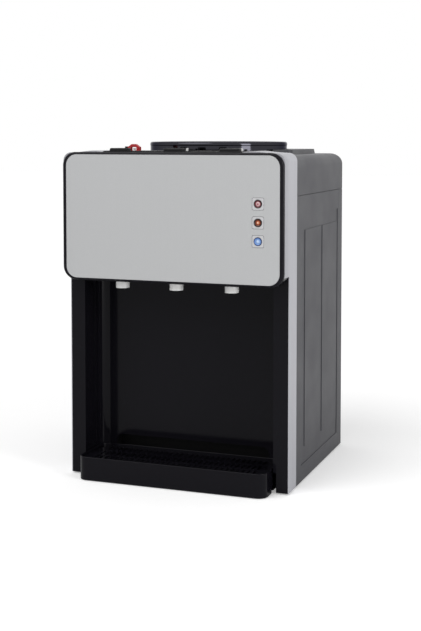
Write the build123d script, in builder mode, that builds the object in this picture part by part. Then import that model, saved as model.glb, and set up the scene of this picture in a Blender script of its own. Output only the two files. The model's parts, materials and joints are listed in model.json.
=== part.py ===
"""Tabletop water dispenser with three press taps, a lift-out drip tray and a seat for a 19 litre bottle.

Millimetres, +Z up, front towards -Y, origin at the middle of the footprint on the table.
"""
import os
from math import cos, radians, sin, sqrt

from build123d import *

os.makedirs("parts", exist_ok=True)

# Whole body
body_w = 310.0          # across the side panels
body_d = 276.0          # from the front of the columns to the back edge
front_reach = 29.5      # the drip tray in front of the columns
body_top = 437.5        # top of the grey cover
wall = 2.5              # every moulded shell
skirt_z = 2.0           # lower edge of the shells above the table
seam = 0.3              # gap between neighbouring covers
run_gap = 0.5           # room around a piece that slides or lifts out

# Silver front frame and the tap box that stands out of it
frame_band = 35.0       # depth of the silver band on each side
box_reach = 20.0        # the box's sides in front of the columns
box_lift = 13.5         # lower edge of the box's sides above the bay
frame_rise = 5.3        # the frame's crown above the cover
frame_fall = 2.3        # its shoulders below its crown
frame_r = 11.0          # rounding of its shoulder
slope_w = 24.0          # gently sloping part of its top on each side
hump_w = 45.0           # the highest line of its top from each side
hump_rise = 1.2         # that line above the crown
hump_r = 40.0
leg_lip = 1.0           # its edge beside the black columns

# Dispensing bay
column_w = 21.0         # width of each column
bay_depth = 53.0        # from the columns to the back wall
bay_r = 14.0            # rounded back corners
bay_top = 270.0         # height of the bay's ceiling
floor_z = 4.5           # underside of the base pan and of the bay's floor
window_side = 22.0      # back wall beside the low window
window_top = 46.0
window_r = 10.0
sump_depth = 24.0       # recess behind the window
sump_side = 6.0         # its room beside and above the window
notch_d = 24.0          # notch in each column beside the tray
notch_w = 4.0

# Drip tray
tray_side_gap = 1.5     # between the tray and each column
tray_rear_gap = 0.8
tray_top = 32.5
tray_low = 1.0          # lower edge of the skirt in front of the columns
tray_wall = 2.2
tray_ledge = 2.4        # ledge under the grille's edge
tray_r = 13.0           # front corners
grille_sink = 3.0       # grille's top below the rim
grille_t = 2.2
grille_slot_w = 3.0
grille_pitch = 7.5
grille_slot_len = 24.0

# Front panel and its three lamps
panel_reach = 24.0      # panel face in front of the columns
panel_inset = 0.4       # its side edges inside the body's width
panel_drop = 1.0        # its lower edge above the bay's ceiling
panel_rise = 4.3        # its upper edge above the cover
panel_r = 18.0
panel_edge = 2.4        # rounding of the black rim
bezel_d = 7.0
rim_side = 5.1          # black rim around the silver sheet
rim_low = 2.6
rim_high = 3.0
sheet_t = 1.5
lamp_side = 29.1        # lamps from the sheet's right edge
lamp_drop = 85.5        # middle lamp below the sheet's upper edge
lamp_pitch = 23.85
lamp_plate = 15.2       # side of the pale square around each lamp
ring_r = 5.4
lens_r = 3.0
board_back = 12.0       # lamp board behind the panel face

# Taps
tap_pitch = 77.5
tap_names = ("hot", "ambient", "cold")
spout_r = 8.5
nozzle_drop = 11.2      # nozzles below the bay's ceiling
stem_back = 40.0        # valve stem behind the columns
barrel_r = 12.0
barrel_h = 41.0
bore_r = 7.0
channel_drop = 47.5     # passage from the valve to the spout, below the cover
channel_r = 3.8
seat_rise = 6.0         # valve seat above the passage
shank_rise = 8.0        # threaded shank above the seat
shank_r = 8.0
nut_t = 5.5
cap_t = 8.0
spigot_h = 4.0          # cap's plug in the barrel
stem_r = 1.75
seal_t = 4.0
pivot_rise = 4.0        # pivot above the cap
key_pivot_back = 20.0   # pivot behind the columns
pivot_r = 1.5
pin_play = 0.05
pad_half = 14.0
pad_tail_half = 8.0     # its narrower rear end
pad_front = 12.0        # pad's front edge in front of the columns
pad_depth = 23.0
pad_h = 10.5            # pad above the key's arm
arm_half = 6.0
arm_t = 5.0
stem_rise = 10.1        # stem's tip above the key's arm
arch_half = 3.6         # clear half width around the stem
cheek_w = 2.4           # two cheeks beside the stem
cheek_h = 9.0
lock_half = 9.0
lock_rise = 5.4         # lock's peak above the stem's tip
lock_t = 6.0

# Key deck behind the panel
deck_side = 57.0        # silver top beside the deck
deck_rise = 5.8         # deck above the cover
deck_t = 2.5
deck_back = 48.5        # its rear edge behind the columns

# Side panels and top cover
cover_h = 52.5          # cover's skirt
cover_r = 15.5
side_relief = 0.9       # depth of the pressed field on each side
field_front = 22.5      # field's front edge behind the seam to the frame
field_rear = 6.0
field_low = 24.0
field_head = 28.0       # smooth band above the field
pad_gap = 7.0           # groove between the two raised pads
pad_lead = 17.5         # field in front of the pads
pad_trail = 5.0         # field behind them
pad_foot = 22.5         # field below them
pad_head = 18.7         # field above them
shoulder_side = 34.0    # raised shoulder beside the collar, from the cover's right side
shoulder_front = 125.75  # its front end behind the columns
shoulder_len = 129.0
shoulder_h = 6.5
shoulder_r = 9.0

# Rear shell
rear_flange = 20.0      # how far it wraps round to the sides
cover_boss_drop = 14.0  # cover's screws below its upper edge
rear_recess = 6.0       # recessed back face
rear_rim = 8.0
vent_w = 60.0
vent_h = 4.0
vent_pitch = 9.5
vent_rows = 13
vent_mid_z = 140.0

# Bottle collar, funnel and cold tank, all on one upright axis
bottle_back = 165.0     # axis behind the columns
collar_r = 99.0
collar_rise = 17.5      # collar above the cover
collar_ledge_drop = 14.0
collar_lip = 11.5       # width of its upper lip
skirt_side = 8.1        # collar's outside from its skirt
collar_skirt = 9.0      # skirt below the cover's top
funnel_rim_t = 2.4
throat_r = 30.0         # takes the capped neck of a bottle
throat_drop = 33.0      # throat's upper end below the funnel's rim
throat_len = 22.0
funnel_wall = 2.2
tank_r = 54.0
tank_h = 104.0
tank_drop = 20.0        # tank's lid below the throat
tank_wall = 0.8
neck_lap = 6.0          # tank's neck around the throat
foam_t = 14.0
foam_base = 12.0
standpipe_drop = 30.0   # standpipe's mouth below the tank's lid
shelf_side = 37.0       # shelf's legs from the body's sides
shelf_t = 2.0
shelf_inset = 1.5       # front edge behind the foam's
shelf_depth = 130.0

# Hot tank
hot_side = 99.0         # axis from the body's left side
hot_back = 181.25       # axis behind the columns
hot_r = 50.0
hot_low = 40.0
hot_h = 145.0
hot_wall = 0.8
port_rise = 15.0        # its two ports above the lid
band_t = 3.0
band_lift = 35.0        # heater above the tank's floor
band_h = 50.0

# Hoses
hose_r = 5.0
hose_bore = 3.5
barb_r = 3.4
barb_len = 8.0
hose_gap = 2.5          # upright runs in front of the foam
hose_sag = 24.0         # cold hoses below the tank's ports
hose_rise = 24.0        # hot hose above the tank's port
hose_bend = 12.0

# Cooling set at the back
block_half = 20.0
sink_gap = 0.85         # heat sink behind the foam
module_t = 3.6
sink_half = 45.0
sink_base = 5.0
fin_t = 1.5
fin_count = 12
fan_half = 46.0
fan_t = 15.0
fan_bore = 42.5
fan_lift = 56.0         # fan's axis above the cold tank's floor
fan_hub = 17.0
blade_count = 7

# Rear fittings
switch_side = 63.0      # first switch from the body's right side
switch_gap = 11.0       # between the two switches
switch_z = 215.0
switch_w = 15.0
switch_h = 21.0
rocker_swing = 16.0     # degrees
inlet_side = 55.0       # cord gland from the body's right side
inlet_z = 40.0
drain_lift = 12.0       # drain above the hot tank's floor
cap_r = 11.0

# Power board
board_side = 45.0       # its right edge from the body's right side
board_back_gap = 34.5   # its rear edge from the rear plate
board_size = 90.0
board_t = 1.6
board_lift = 12.0       # above the base pan
board_parts = {         # left, front, width and depth as shares of the board, height in millimetres
    "transformer": (0.13, 0.13, 0.42, 0.37, 30.0),
    "relay": (0.64, 0.16, 0.24, 0.29, 15.0),
    "terminals": (0.11, 0.82, 0.73, 0.11, 9.0),
}
capacitor_r = 5.5
capacitor_h = 16.0
capacitor_row = (0.2, 0.38, 0.56, 0.74)
capacitor_back = 0.67

# Small fixings
foot_r = 9.0
foot_side = 43.0        # feet from the body's sides
screw_r = 1.4
screw_head_r = 3.5
boss_side = 15.0        # screw bosses from the body's sides
boss_r = 6.0

# Places worked out from the sizes above
half_w = body_w / 2
in_x = half_w - wall
y_back = (body_d + front_reach) / 2
y_col = y_back - body_d
y_tray = y_col - front_reach
y_seam = y_col + frame_band
y_box = y_col - box_reach
y_bay = y_col + bay_depth
y_wall = y_bay + wall
y_panel = y_col - panel_reach
y_bezel = y_panel + bezel_d
y_web = y_panel + sheet_t + 0.2
y_stem = y_col + stem_back
y_pivot = y_col + key_pivot_back
y_pad = y_col - pad_front
y_arm_end = y_stem + 5.0
y_deck = y_col + deck_back
y_bottle = y_col + bottle_back
y_sump = y_wall + sump_depth
y_flange = y_back - rear_flange
y_face = y_back - rear_recess
y_plate = y_face - wall
y_hot = y_col + hot_back
y_foam = y_bottle - tank_r - foam_t
y_hose = y_foam - hose_gap - hose_r
y_shank = y_wall + nut_t + 3.5
pan_top = floor_z + wall
tray_floor = pan_top + run_gap
tongue_x = in_x - wall
bay_half = half_w - column_w
window_half = bay_half - window_side
tray_half = bay_half - tray_side_gap
deck_half = half_w - deck_side
foot_x = half_w - foot_side
boss_x = half_w - boss_side
box_z = bay_top + box_lift
frame_top = body_top + frame_rise
frame_edge_z = frame_top - frame_fall
cover_z = body_top - cover_h
rear_top = cover_z
deck_top = body_top + deck_rise
grille_z = tray_top - grille_sink - grille_t
panel_half = half_w - panel_inset
panel_low = bay_top + panel_drop
panel_high = body_top + panel_rise
spigot_r = panel_r - wall
sheet_half = panel_half - rim_side
sheet_low = panel_low + rim_low
sheet_high = panel_high - rim_high
sheet_r = panel_r - rim_high
lamp_x = sheet_half - lamp_side
lamp_mid_z = sheet_high - lamp_drop
lamp_z = {"power": lamp_mid_z + lamp_pitch, "heating": lamp_mid_z, "cooling": lamp_mid_z - lamp_pitch}
tap_x = dict(zip(tap_names, (-tap_pitch, 0.0, tap_pitch)))
spout_low = bay_top - nozzle_drop
channel_z = body_top - channel_drop
seat_z = channel_z + seat_rise
shank_z = seat_z + shank_rise
barrel_low = channel_z - channel_r - 5.2
barrel_top = barrel_low + barrel_h
cap_top = barrel_top + cap_t
spigot_low = barrel_top - spigot_h
pivot_z = cap_top + pivot_rise
arm_low = pivot_z - arm_t / 2
arm_top = pivot_z + arm_t / 2
pad_top = arm_top + pad_h
stem_top = arm_top + stem_rise
lock_peak = stem_top + lock_rise
collar_top = body_top + collar_rise
collar_ledge = collar_top - collar_ledge_drop
collar_bore = collar_r - collar_lip
skirt_r = collar_r - skirt_side
throat_top = collar_ledge - throat_drop
throat_low = throat_top - throat_len
tank_high = throat_low - tank_drop
tank_low = tank_high - tank_h
neck_top = throat_low + neck_lap
neck_r = throat_r + funnel_wall + 3.8
foam_low = tank_low - foam_base
port_low = foam_low - shelf_t - 4.0
hose_low = port_low - hose_sag
shelf_half = half_w - shelf_side
y_shelf = y_foam + shelf_inset
fan_z = tank_low + fan_lift
y_sink = y_bottle + tank_r + foam_t + sink_gap
y_block = y_sink - module_t
y_fan = y_plate - fan_t
hot_x = hot_side - half_w
hot_high = hot_low + hot_h
port_top = hot_high + port_rise
drain_z = hot_low + drain_lift
switch_x = (half_w - switch_side, half_w - switch_side + switch_w + switch_gap)
inlet_x = half_w - inlet_side
bottle_axis = Axis((0, y_bottle, 0), (0, 0, 1))


def save(piece, label):
    piece.part.label = label
    export_step(piece.part, f"parts/{label}.step")


def upright(y):
    """Plane across the body at depth y, with X to the right, Z up and its normal to the front."""
    return Plane(origin=(0, y, 0), x_dir=(1, 0, 0), z_dir=(0, -1, 0))


def block(xs, ys, zs, mode=Mode.ADD):
    """Rectangular solid between two values on each axis, in either order."""
    middle = tuple((a + b) / 2 for a, b in (xs, ys, zs))
    size = tuple(abs(b - a) for a, b in (xs, ys, zs))
    with Locations(middle):
        Box(*size, mode=mode)


def rod(x, y, low, high, radius, mode=Mode.ADD):
    """Upright round bar."""
    with BuildSketch(Plane.XY.offset(low)) as disc:
        with Locations((x, y)):
            Circle(radius)
    extrude(disc.sketch, amount=high - low, mode=mode)


def bar(x, z, front, rear, radius, mode=Mode.ADD):
    """Round bar that runs from front to back."""
    with BuildSketch(upright(rear)) as disc:
        with Locations((x, z)):
            Circle(radius)
    extrude(disc.sketch, amount=rear - front, mode=mode)


def cross_bar(left, right, y, z, radius, mode=Mode.ADD):
    """Round bar from left to right."""
    with BuildSketch(Plane.YZ.offset(left)) as disc:
        with Locations((y, z)):
            Circle(radius)
    extrude(disc.sketch, amount=right - left, mode=mode)


def plate_outline(half, low, high, radius, mode=Mode.ADD):
    """Rounded rectangle on an upright plane, by its half width and its two heights."""
    with Locations((0, (low + high) / 2)):
        RectangleRounded(2 * half, high - low, radius, mode=mode)


def crown_form(inset, front, rear, low):
    """Solid under the silver frame's crowned profile."""
    half = half_w - inset
    slope_half = half_w - slope_w
    hump_half = half_w - hump_w
    edge = frame_edge_z - inset
    top = frame_top - inset
    slope_top = edge + (top - edge) * 0.6
    with BuildPart() as form:
        with BuildSketch(upright(rear)):
            right = [
                (half, low), (half, edge), (slope_half, slope_top), (hump_half, top + hump_rise),
                (deck_half, top - 0.5),
            ]
            left = [(-x, z) for x, z in reversed(right)]
            Polygon(*right, *left, align=None)
            corners = vertices().filter_by(lambda v: abs(abs(v.X) - half) < 0.01 and v.Y > low + 1)
            fillet(corners, frame_r - inset)
            humps = vertices().filter_by(lambda v: abs(abs(v.X) - hump_half) < 0.01)
            fillet(humps, hump_r)
        extrude(amount=rear - front)
    return form.part


def cover_form(inset, low):
    """Solid under the top cover's skin: rounded along both sides and the back."""
    half = half_w - inset
    top = body_top - inset
    radius = cover_r - inset
    with BuildPart() as form:
        with BuildSketch(upright(y_back - inset)):
            with BuildLine():
                Polyline((-half, top - radius), (-half, low), (half, low), (half, top - radius))
                RadiusArc((half, top - radius), (half - radius, top), -radius)
                Line((half - radius, top), (radius - half, top))
                RadiusArc((radius - half, top), (-half, top - radius), -radius)
            make_face()
        extrude(amount=y_back - y_seam)
        with BuildSketch(Plane.YZ.offset(-half_w)):
            rear = y_back - inset
            with BuildLine():
                Polyline(
                    (rear - radius, top), (y_seam - wall, top), (y_seam - wall, low), (rear, low),
                    (rear, top - radius)
                )
                RadiusArc((rear, top - radius), (rear - radius, top), -radius)
            make_face()
        extrude(amount=body_w, mode=Mode.INTERSECT)
    return form.part


# Base pan: floor of the machine, with the sump that closes the window behind the tray
board_left = half_w - board_side - board_size
board_front = y_plate - board_back_gap - board_size
board_z = pan_top + board_lift
standoffs = [
    (board_left + dx, board_front + dy) for dx in (5.0, board_size - 5.0) for dy in (5.0, board_size - 5.0)
]
with BuildPart() as base_pan:
    block((-in_x, in_x), (y_wall, y_plate), (floor_z, pan_top))
    sump_half = window_half + sump_side
    sump_top = window_top + sump_side
    block((-sump_half, sump_half), (y_wall, y_sump), (pan_top, sump_top))
    block(
        (wall - sump_half, sump_half - wall), (y_wall, y_sump - wall), (pan_top, sump_top - wall),
        Mode.SUBTRACT
    )
    for x, y in standoffs:
        rod(x, y, pan_top, board_z, 3.0)
    for row in range(5):
        y = y_plate - 12 - row * vent_pitch
        block((-105, -35), (y - vent_h / 2, y + vent_h / 2), (floor_z, pan_top), Mode.SUBTRACT)
save(base_pan, "base_pan")

with BuildPart() as feet:
    for y in (y_col + 28.0, y_plate - 26.0):
        for x in (-foot_x, foot_x):
            rod(x, y, 0, floor_z, foot_r)
    fillet(feet.edges().group_by(Axis.Z)[0], 0.8)
save(feet, "feet")

# Side panels: a pressed field with two raised pads on each
field_top = cover_z - field_head
boss_z = (60.0, cover_z - 55.0)
field = (y_seam + field_front, y_flange - field_rear)
pads_low = field_low + pad_foot
pads_high = field_top - pad_head
pad_len = (field[1] - field[0] - pad_lead - pad_trail - pad_gap) / 2
for side, sign in (("left", -1), ("right", 1)):
    with BuildPart() as side_panel:
        block((sign * in_x, sign * half_w), (y_seam + seam, y_flange - seam), (skirt_z, cover_z - seam))
        with BuildSketch(Plane.YZ.offset(sign * half_w)):
            with Locations(((field[0] + field[1]) / 2, (field_low + field_top) / 2)):
                Rectangle(field[1] - field[0], field_top - field_low)
            for start in (field[0] + pad_lead, field[0] + pad_lead + pad_len + pad_gap):
                with Locations((start + pad_len / 2, (pads_low + pads_high) / 2)):
                    Rectangle(pad_len, pads_high - pads_low, mode=Mode.SUBTRACT)
        extrude(amount=-sign * side_relief, mode=Mode.SUBTRACT)
        block((sign * (in_x - 8), sign * in_x), (y_wall, y_flange - seam), (skirt_z, floor_z))
        block((sign * tongue_x, sign * in_x), (y_wall + seam, y_flange - 2), (cover_z - 12, cover_z + 10))
        for z in boss_z:
            block(
                (sign * (boss_x - boss_r), sign * in_x), (y_flange - 14, y_flange - seam),
                (z - boss_r, z + boss_r)
            )
            block(
                (sign * (boss_x - boss_r), sign * (in_x - seam)), (y_flange - 2, y_plate),
                (z - boss_r, z + boss_r)
            )
            bar(sign * boss_x, z, y_plate - 16, y_plate, screw_r + 0.1, Mode.SUBTRACT)
    save(side_panel, f"side_panel_{side}")

# Rear shell: recessed back with louvres and the fan's grille
cover_boss = 100.0
cover_boss_z = rear_top - cover_boss_drop
with BuildPart() as rear_shell:
    block((-half_w, half_w), (y_flange, y_back), (skirt_z, rear_top))
    block((-in_x, in_x), (y_flange, y_plate), (skirt_z, rear_top), Mode.SUBTRACT)
    block(
        (rear_rim - half_w, half_w - rear_rim), (y_face, y_back), (skirt_z + rear_rim, rear_top - rear_rim),
        Mode.SUBTRACT,
    )
    for row in range(-4, 5):
        dz = row * vent_pitch
        reach = sqrt((fan_bore - 2) ** 2 - dz**2)
        with BuildSketch(upright(y_face)):
            with Locations((0, fan_z + dz)):
                SlotOverall(2 * reach, vent_h)
        extrude(amount=wall, mode=Mode.SUBTRACT)
    with BuildSketch(upright(y_face)):
        with Locations((0, vent_mid_z)):
            with GridLocations(vent_w + 12, vent_pitch, 2, vent_rows):
                SlotOverall(vent_w, vent_h)
    extrude(amount=wall, mode=Mode.SUBTRACT)
    for x in switch_x:
        block(
            (x - switch_w / 2 + 1, x + switch_w / 2 - 1), (y_plate, y_face),
            (switch_z - switch_h / 2 + 1, switch_z + switch_h / 2 - 1), Mode.SUBTRACT,
        )
    bar(inlet_x, inlet_z, y_plate, y_face, 6.0, Mode.SUBTRACT)
    bar(hot_x, drain_z, y_plate, y_face, hose_r + 0.4, Mode.SUBTRACT)
    for x in (-boss_x, boss_x):
        for z in boss_z:
            bar(x, z, y_plate, y_face, screw_r + 0.3, Mode.SUBTRACT)
    for x in (-cover_boss, cover_boss):
        bar(x, cover_boss_z, y_plate, y_face, screw_r + 0.3, Mode.SUBTRACT)
save(rear_shell, "rear_shell")

with BuildPart() as body_screws:
    places = [(x, z) for x in (-boss_x, boss_x) for z in boss_z]
    places += [(x, cover_boss_z) for x in (-cover_boss, cover_boss)]
    for x, z in places:
        bar(x, z, y_plate - 10, y_face, screw_r)
        bar(x, z, y_face, y_face + 2.2, screw_head_r)
save(body_screws, "body_screws")

# Top cover: satin grey lid with the collar's hole and the raised shoulder
cover_skin = cover_form(0, cover_z + seam)
cover_hollow = cover_form(wall, cover_z - wall)
with BuildPart() as top_cover:
    add(cover_skin)
    add(cover_hollow, mode=Mode.SUBTRACT)
    block((-half_w, half_w), (y_seam - wall, y_seam + seam), (cover_z - wall, body_top), Mode.SUBTRACT)
    block((-half_w, half_w), (y_flange - seam, y_back), (cover_z - wall, rear_top + seam), Mode.SUBTRACT)
    for x in (-cover_boss, cover_boss):
        block(
            (x - boss_r, x + boss_r), (y_plate - 14, y_plate), (cover_boss_z - boss_r, body_top - wall + 0.2)
        )
        bar(x, cover_boss_z, y_plate - 12, y_plate, screw_r + 0.1, Mode.SUBTRACT)
    with BuildSketch(Plane.XY.offset(body_top - 0.5)):
        shoulder_x = half_w - shoulder_side
        with Locations((shoulder_x / 2, y_col + shoulder_front + shoulder_len / 2)):
            RectangleRounded(shoulder_x, shoulder_len, shoulder_r)
        with Locations((0, y_bottle)):
            Circle(collar_r + seam, mode=Mode.SUBTRACT)
    extrude(amount=shoulder_h + 0.5, taper=12)
    rod(0, y_bottle, body_top - 10, body_top + 1, skirt_r + seam, Mode.SUBTRACT)
    block(
        (-deck_half - seam, deck_half + seam), (y_seam - wall, y_deck + seam), (body_top - 10, body_top + 1),
        Mode.SUBTRACT,
    )
save(top_cover, "top_cover")

# Silver front frame: an arch of painted plastic with the wall that the taps are bolted to
band_skin = crown_form(0, y_col, y_seam, skirt_z)
box_skin = crown_form(0, y_box, y_col, box_z)
frame_hollow = crown_form(wall, y_box, y_seam, skirt_z - 1)
with BuildPart() as front_frame:
    add(band_skin)
    add(box_skin)
    add(frame_hollow, mode=Mode.SUBTRACT)
    block(
        (-deck_half - seam, deck_half + seam), (y_box, y_seam), (frame_top - 3 * wall, frame_top + 1),
        Mode.SUBTRACT,
    )
    for sign in (-1, 1):
        block(
            (sign * in_x, sign * (half_w - leg_lip)), (y_col, y_col + wall + seam), (skirt_z, box_z),
            Mode.SUBTRACT,
        )
        block((sign * tongue_x, sign * in_x), (y_seam - 8, y_wall), (floor_z, body_top - cover_r))
    with BuildSketch(upright(y_wall)):
        low = bay_top + wall
        high = body_top - wall
        with BuildLine():
            Polyline(
                (-tongue_x, high - cover_r), (-tongue_x, low), (tongue_x, low), (tongue_x, high - cover_r)
            )
            RadiusArc((tongue_x, high - cover_r), (tongue_x - cover_r, high), -cover_r)
            Line((tongue_x - cover_r, high), (cover_r - tongue_x, high))
            RadiusArc((cover_r - tongue_x, high), (-tongue_x, high - cover_r), -cover_r)
        make_face()
    extrude(amount=wall)
    for x in tap_x.values():
        bar(x, shank_z, y_bay, y_wall, shank_r + 0.3, Mode.SUBTRACT)
save(front_frame, "front_frame")

# Dispensing bay: glossy black moulding with the two columns, the back wall and the ceiling
notch_top = tray_top - 5.0
with BuildPart() as dispensing_bay:
    with BuildSketch(Plane.XY.offset(skirt_z)):
        with BuildLine():
            outer = bay_half + wall
            r = bay_r + wall
            Polyline((-outer, y_wall - r), (-outer, y_col), (outer, y_col), (outer, y_wall - r))
            RadiusArc((outer, y_wall - r), (outer - r, y_wall), -r)
            Line((outer - r, y_wall), (r - outer, y_wall))
            RadiusArc((r - outer, y_wall), (-outer, y_wall - r), -r)
        make_face()
        with BuildLine():
            Polyline(
                (-bay_half, y_bay - bay_r), (-bay_half, y_col), (bay_half, y_col), (bay_half, y_bay - bay_r)
            )
            RadiusArc((bay_half, y_bay - bay_r), (bay_half - bay_r, y_bay), -bay_r)
            Line((bay_half - bay_r, y_bay), (bay_r - bay_half, y_bay))
            RadiusArc((bay_r - bay_half, y_bay), (-bay_half, y_bay - bay_r), -bay_r)
        make_face(mode=Mode.SUBTRACT)
    extrude(amount=bay_top - skirt_z)
    for sign in (-1, 1):
        block(
            (sign * bay_half, sign * (half_w - leg_lip - seam)), (y_col, y_col + wall),
            (skirt_z, box_z - seam)
        )
        block(
            (sign * bay_half, sign * (bay_half + notch_w)), (y_col, y_col + notch_d), (skirt_z, notch_top),
            Mode.SUBTRACT,
        )
        near, far = sign * bay_half, sign * (bay_half + notch_w + wall)
        notch_rear = y_col + notch_d + wall
        block((far - sign * wall, far), (y_col, notch_rear), (skirt_z, notch_top))
        block((near, far), (y_col + notch_d, notch_rear), (skirt_z, notch_top))
        block((near, far), (y_col, notch_rear), (notch_top, notch_top + wall))
    hood_high = bay_top + 3 * panel_r
    with BuildSketch(upright(y_col + wall)):
        plate_outline(panel_half, bay_top, hood_high, panel_r)
        plate_outline(in_x, bay_top + wall, hood_high - wall, spigot_r + seam, Mode.SUBTRACT)
    extrude(amount=y_col + wall - y_box)
    block((-half_w, half_w), (y_box, y_col + wall), (box_z - seam, hood_high + wall), Mode.SUBTRACT)
    block((-bay_half - wall, bay_half + wall), (y_col, y_seam), (bay_top, bay_top + wall))
    block((seam - tongue_x, tongue_x - seam), (y_seam - 10, y_wall), (bay_top, bay_top + wall))
    block((-bay_half, bay_half), (y_col + 1, y_wall), (floor_z, pan_top))
    with BuildSketch(upright(y_wall)):
        with Locations((0, (pan_top + window_top - window_r) / 2)):
            Rectangle(2 * window_half, window_top + window_r - pan_top)
        window_corners = vertices().group_by(Axis.Z)[-1]
        fillet(window_corners, window_r)
    extrude(amount=wall, mode=Mode.SUBTRACT)
    block((-bay_half, bay_half), (y_col + 1, y_wall), (floor_z, pan_top))
    for x in tap_x.values():
        rod(x, y_col, bay_top, bay_top + wall, spout_r + 0.6, Mode.SUBTRACT)
save(dispensing_bay, "dispensing_bay")

# Front panel: black rim, silver sheet, three lamps
post_rise = 1.5 * lamp_pitch - 2
posts = [(lamp_x + dx, lamp_mid_z + dz) for dx in (-7.0, 7.0) for dz in (-post_rise, post_rise)]
with BuildPart() as panel_bezel:
    with BuildSketch(upright(y_box - seam)):
        plate_outline(panel_half, panel_low, panel_high, panel_r)
    extrude(amount=y_box - seam - y_panel)
    fillet(panel_bezel.faces().sort_by(Axis.Y)[0].edges(), panel_edge)
    with BuildSketch(upright(y_web)):
        plate_outline(sheet_half, sheet_low, sheet_high, sheet_r)
    extrude(amount=y_web - y_panel, mode=Mode.SUBTRACT)
    spigot = (in_x - seam, bay_top + wall + seam, frame_edge_z - wall - frame_r / 2)
    with BuildSketch(upright(y_bezel)):
        plate_outline(*spigot, spigot_r)
        plate_outline(spigot[0] - wall, spigot[1] + wall, spigot[2] - wall, spigot_r - wall, Mode.SUBTRACT)
    extrude(amount=y_bezel - y_box + seam)
    for z in lamp_z.values():
        bar(lamp_x, z, y_panel, y_bezel, ring_r + 0.2, Mode.SUBTRACT)
    for x, z in posts:
        bar(x, z, y_web + 1, y_panel + board_back, 2.0)
save(panel_bezel, "panel_bezel")

with BuildPart() as panel_face:
    with BuildSketch(upright(y_web)):
        plate_outline(sheet_half - 0.1, sheet_low + 0.1, sheet_high - 0.1, sheet_r - 0.1)
        for z in lamp_z.values():
            with Locations((lamp_x, z)):
                RectangleRounded(lamp_plate + 0.2, lamp_plate + 0.2, 2.1, mode=Mode.SUBTRACT)
    extrude(amount=sheet_t)
save(panel_face, "panel_face")

with BuildPart() as lamp_frames:
    for z in lamp_z.values():
        with BuildSketch(upright(y_web)):
            with Locations((lamp_x, z)):
                RectangleRounded(lamp_plate, lamp_plate, 2.0)
                Circle(ring_r + 0.1, mode=Mode.SUBTRACT)
        extrude(amount=sheet_t + 0.25)
save(lamp_frames, "lamp_frames")

ring_front = y_panel - 0.5
with BuildPart() as lamp_rings:
    for z in lamp_z.values():
        bar(lamp_x, z, ring_front, y_bezel - 1, ring_r)
        with BuildSketch(upright(ring_front + 1.2)):
            with Locations((lamp_x, z)):
                Circle(lens_r)
        with BuildSketch(upright(ring_front)):
            with Locations((lamp_x, z)):
                Circle(ring_r - 0.7)
        loft(mode=Mode.SUBTRACT)
        bar(lamp_x, z, ring_front, y_bezel - 1, lens_r + 0.05, Mode.SUBTRACT)
save(lamp_rings, "lamp_rings")

led_t = 1.8
for name, z in lamp_z.items():
    with BuildPart() as lamp_lens:
        bar(lamp_x, z, ring_front + 0.3, y_panel + board_back - led_t - 0.1, lens_r)
        fillet(lamp_lens.edges().group_by(Axis.Y)[0], 1.6)
    save(lamp_lens, f"lamp_lens_{name}")

with BuildPart() as lamp_board:
    block(
        (lamp_x - 10, lamp_x + 10), (y_panel + board_back, y_panel + board_back + 1.6),
        (lamp_mid_z - 1.5 * lamp_pitch - 2, lamp_mid_z + 1.5 * lamp_pitch + 2),
    )
    for z in lamp_z.values():
        block(
            (lamp_x - 2, lamp_x + 2), (y_panel + board_back - led_t, y_panel + board_back), (z - 2, z + 2)
        )
    block(
        (lamp_x - 5, lamp_x + 5), (y_panel + board_back + 1.6, y_panel + board_back + 8),
        (lamp_mid_z - 16, lamp_mid_z - 8)
    )
save(lamp_board, "lamp_board")

# Key deck: black surround of the three keys
slot_half = pad_half + 1.2
with BuildPart() as key_deck:
    deck_front = y_bezel + 2 * seam
    block((-deck_half, deck_half), (deck_front, y_deck), (body_top - 4, deck_top))
    fillet(key_deck.edges().group_by(Axis.Z)[-1], 1.0)
    block(
        (2 - deck_half, deck_half - 2), (deck_front + 2, y_deck - 2), (body_top - 4, deck_top - deck_t),
        Mode.SUBTRACT
    )
    for x in tap_x.values():
        block(
            (x - slot_half, x + slot_half), (deck_front + 2, y_arm_end + 1.2),
            (deck_top - deck_t, deck_top), Mode.SUBTRACT
        )
save(key_deck, "key_deck")

# Taps: white body with a long spout, cap with the key's ears, stem, spring, key
for name, x in tap_x.items():
    with BuildPart() as tap_body:
        rod(x, y_stem, barrel_low, barrel_top, barrel_r)
        rod(x, y_col, spout_low, channel_z + 8, spout_r)
        bar(x, channel_z, y_col, y_stem, channel_r + 3)
        bar(x, shank_z, y_stem, y_shank, shank_r)
        bar(x, shank_z, y_bay - 1.5, y_bay, shank_r + 3)
        bar(x, shank_z, y_shank, y_shank + barb_len, barb_r)
        rod(x, y_stem, seat_z, barrel_top, bore_r, Mode.SUBTRACT)
        rod(x, y_stem, channel_z, seat_z, channel_r, Mode.SUBTRACT)
        bar(x, channel_z, y_col, y_stem, channel_r, Mode.SUBTRACT)
        rod(x, y_col, spout_low, channel_z + 4, spout_r - 2.5, Mode.SUBTRACT)
        bar(x, shank_z, y_stem, y_shank - 3, channel_r, Mode.SUBTRACT)
        bar(x, shank_z, y_stem, y_shank + barb_len, barb_r - 1.2, Mode.SUBTRACT)
    save(tap_body, f"tap_body_{name}")

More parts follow.
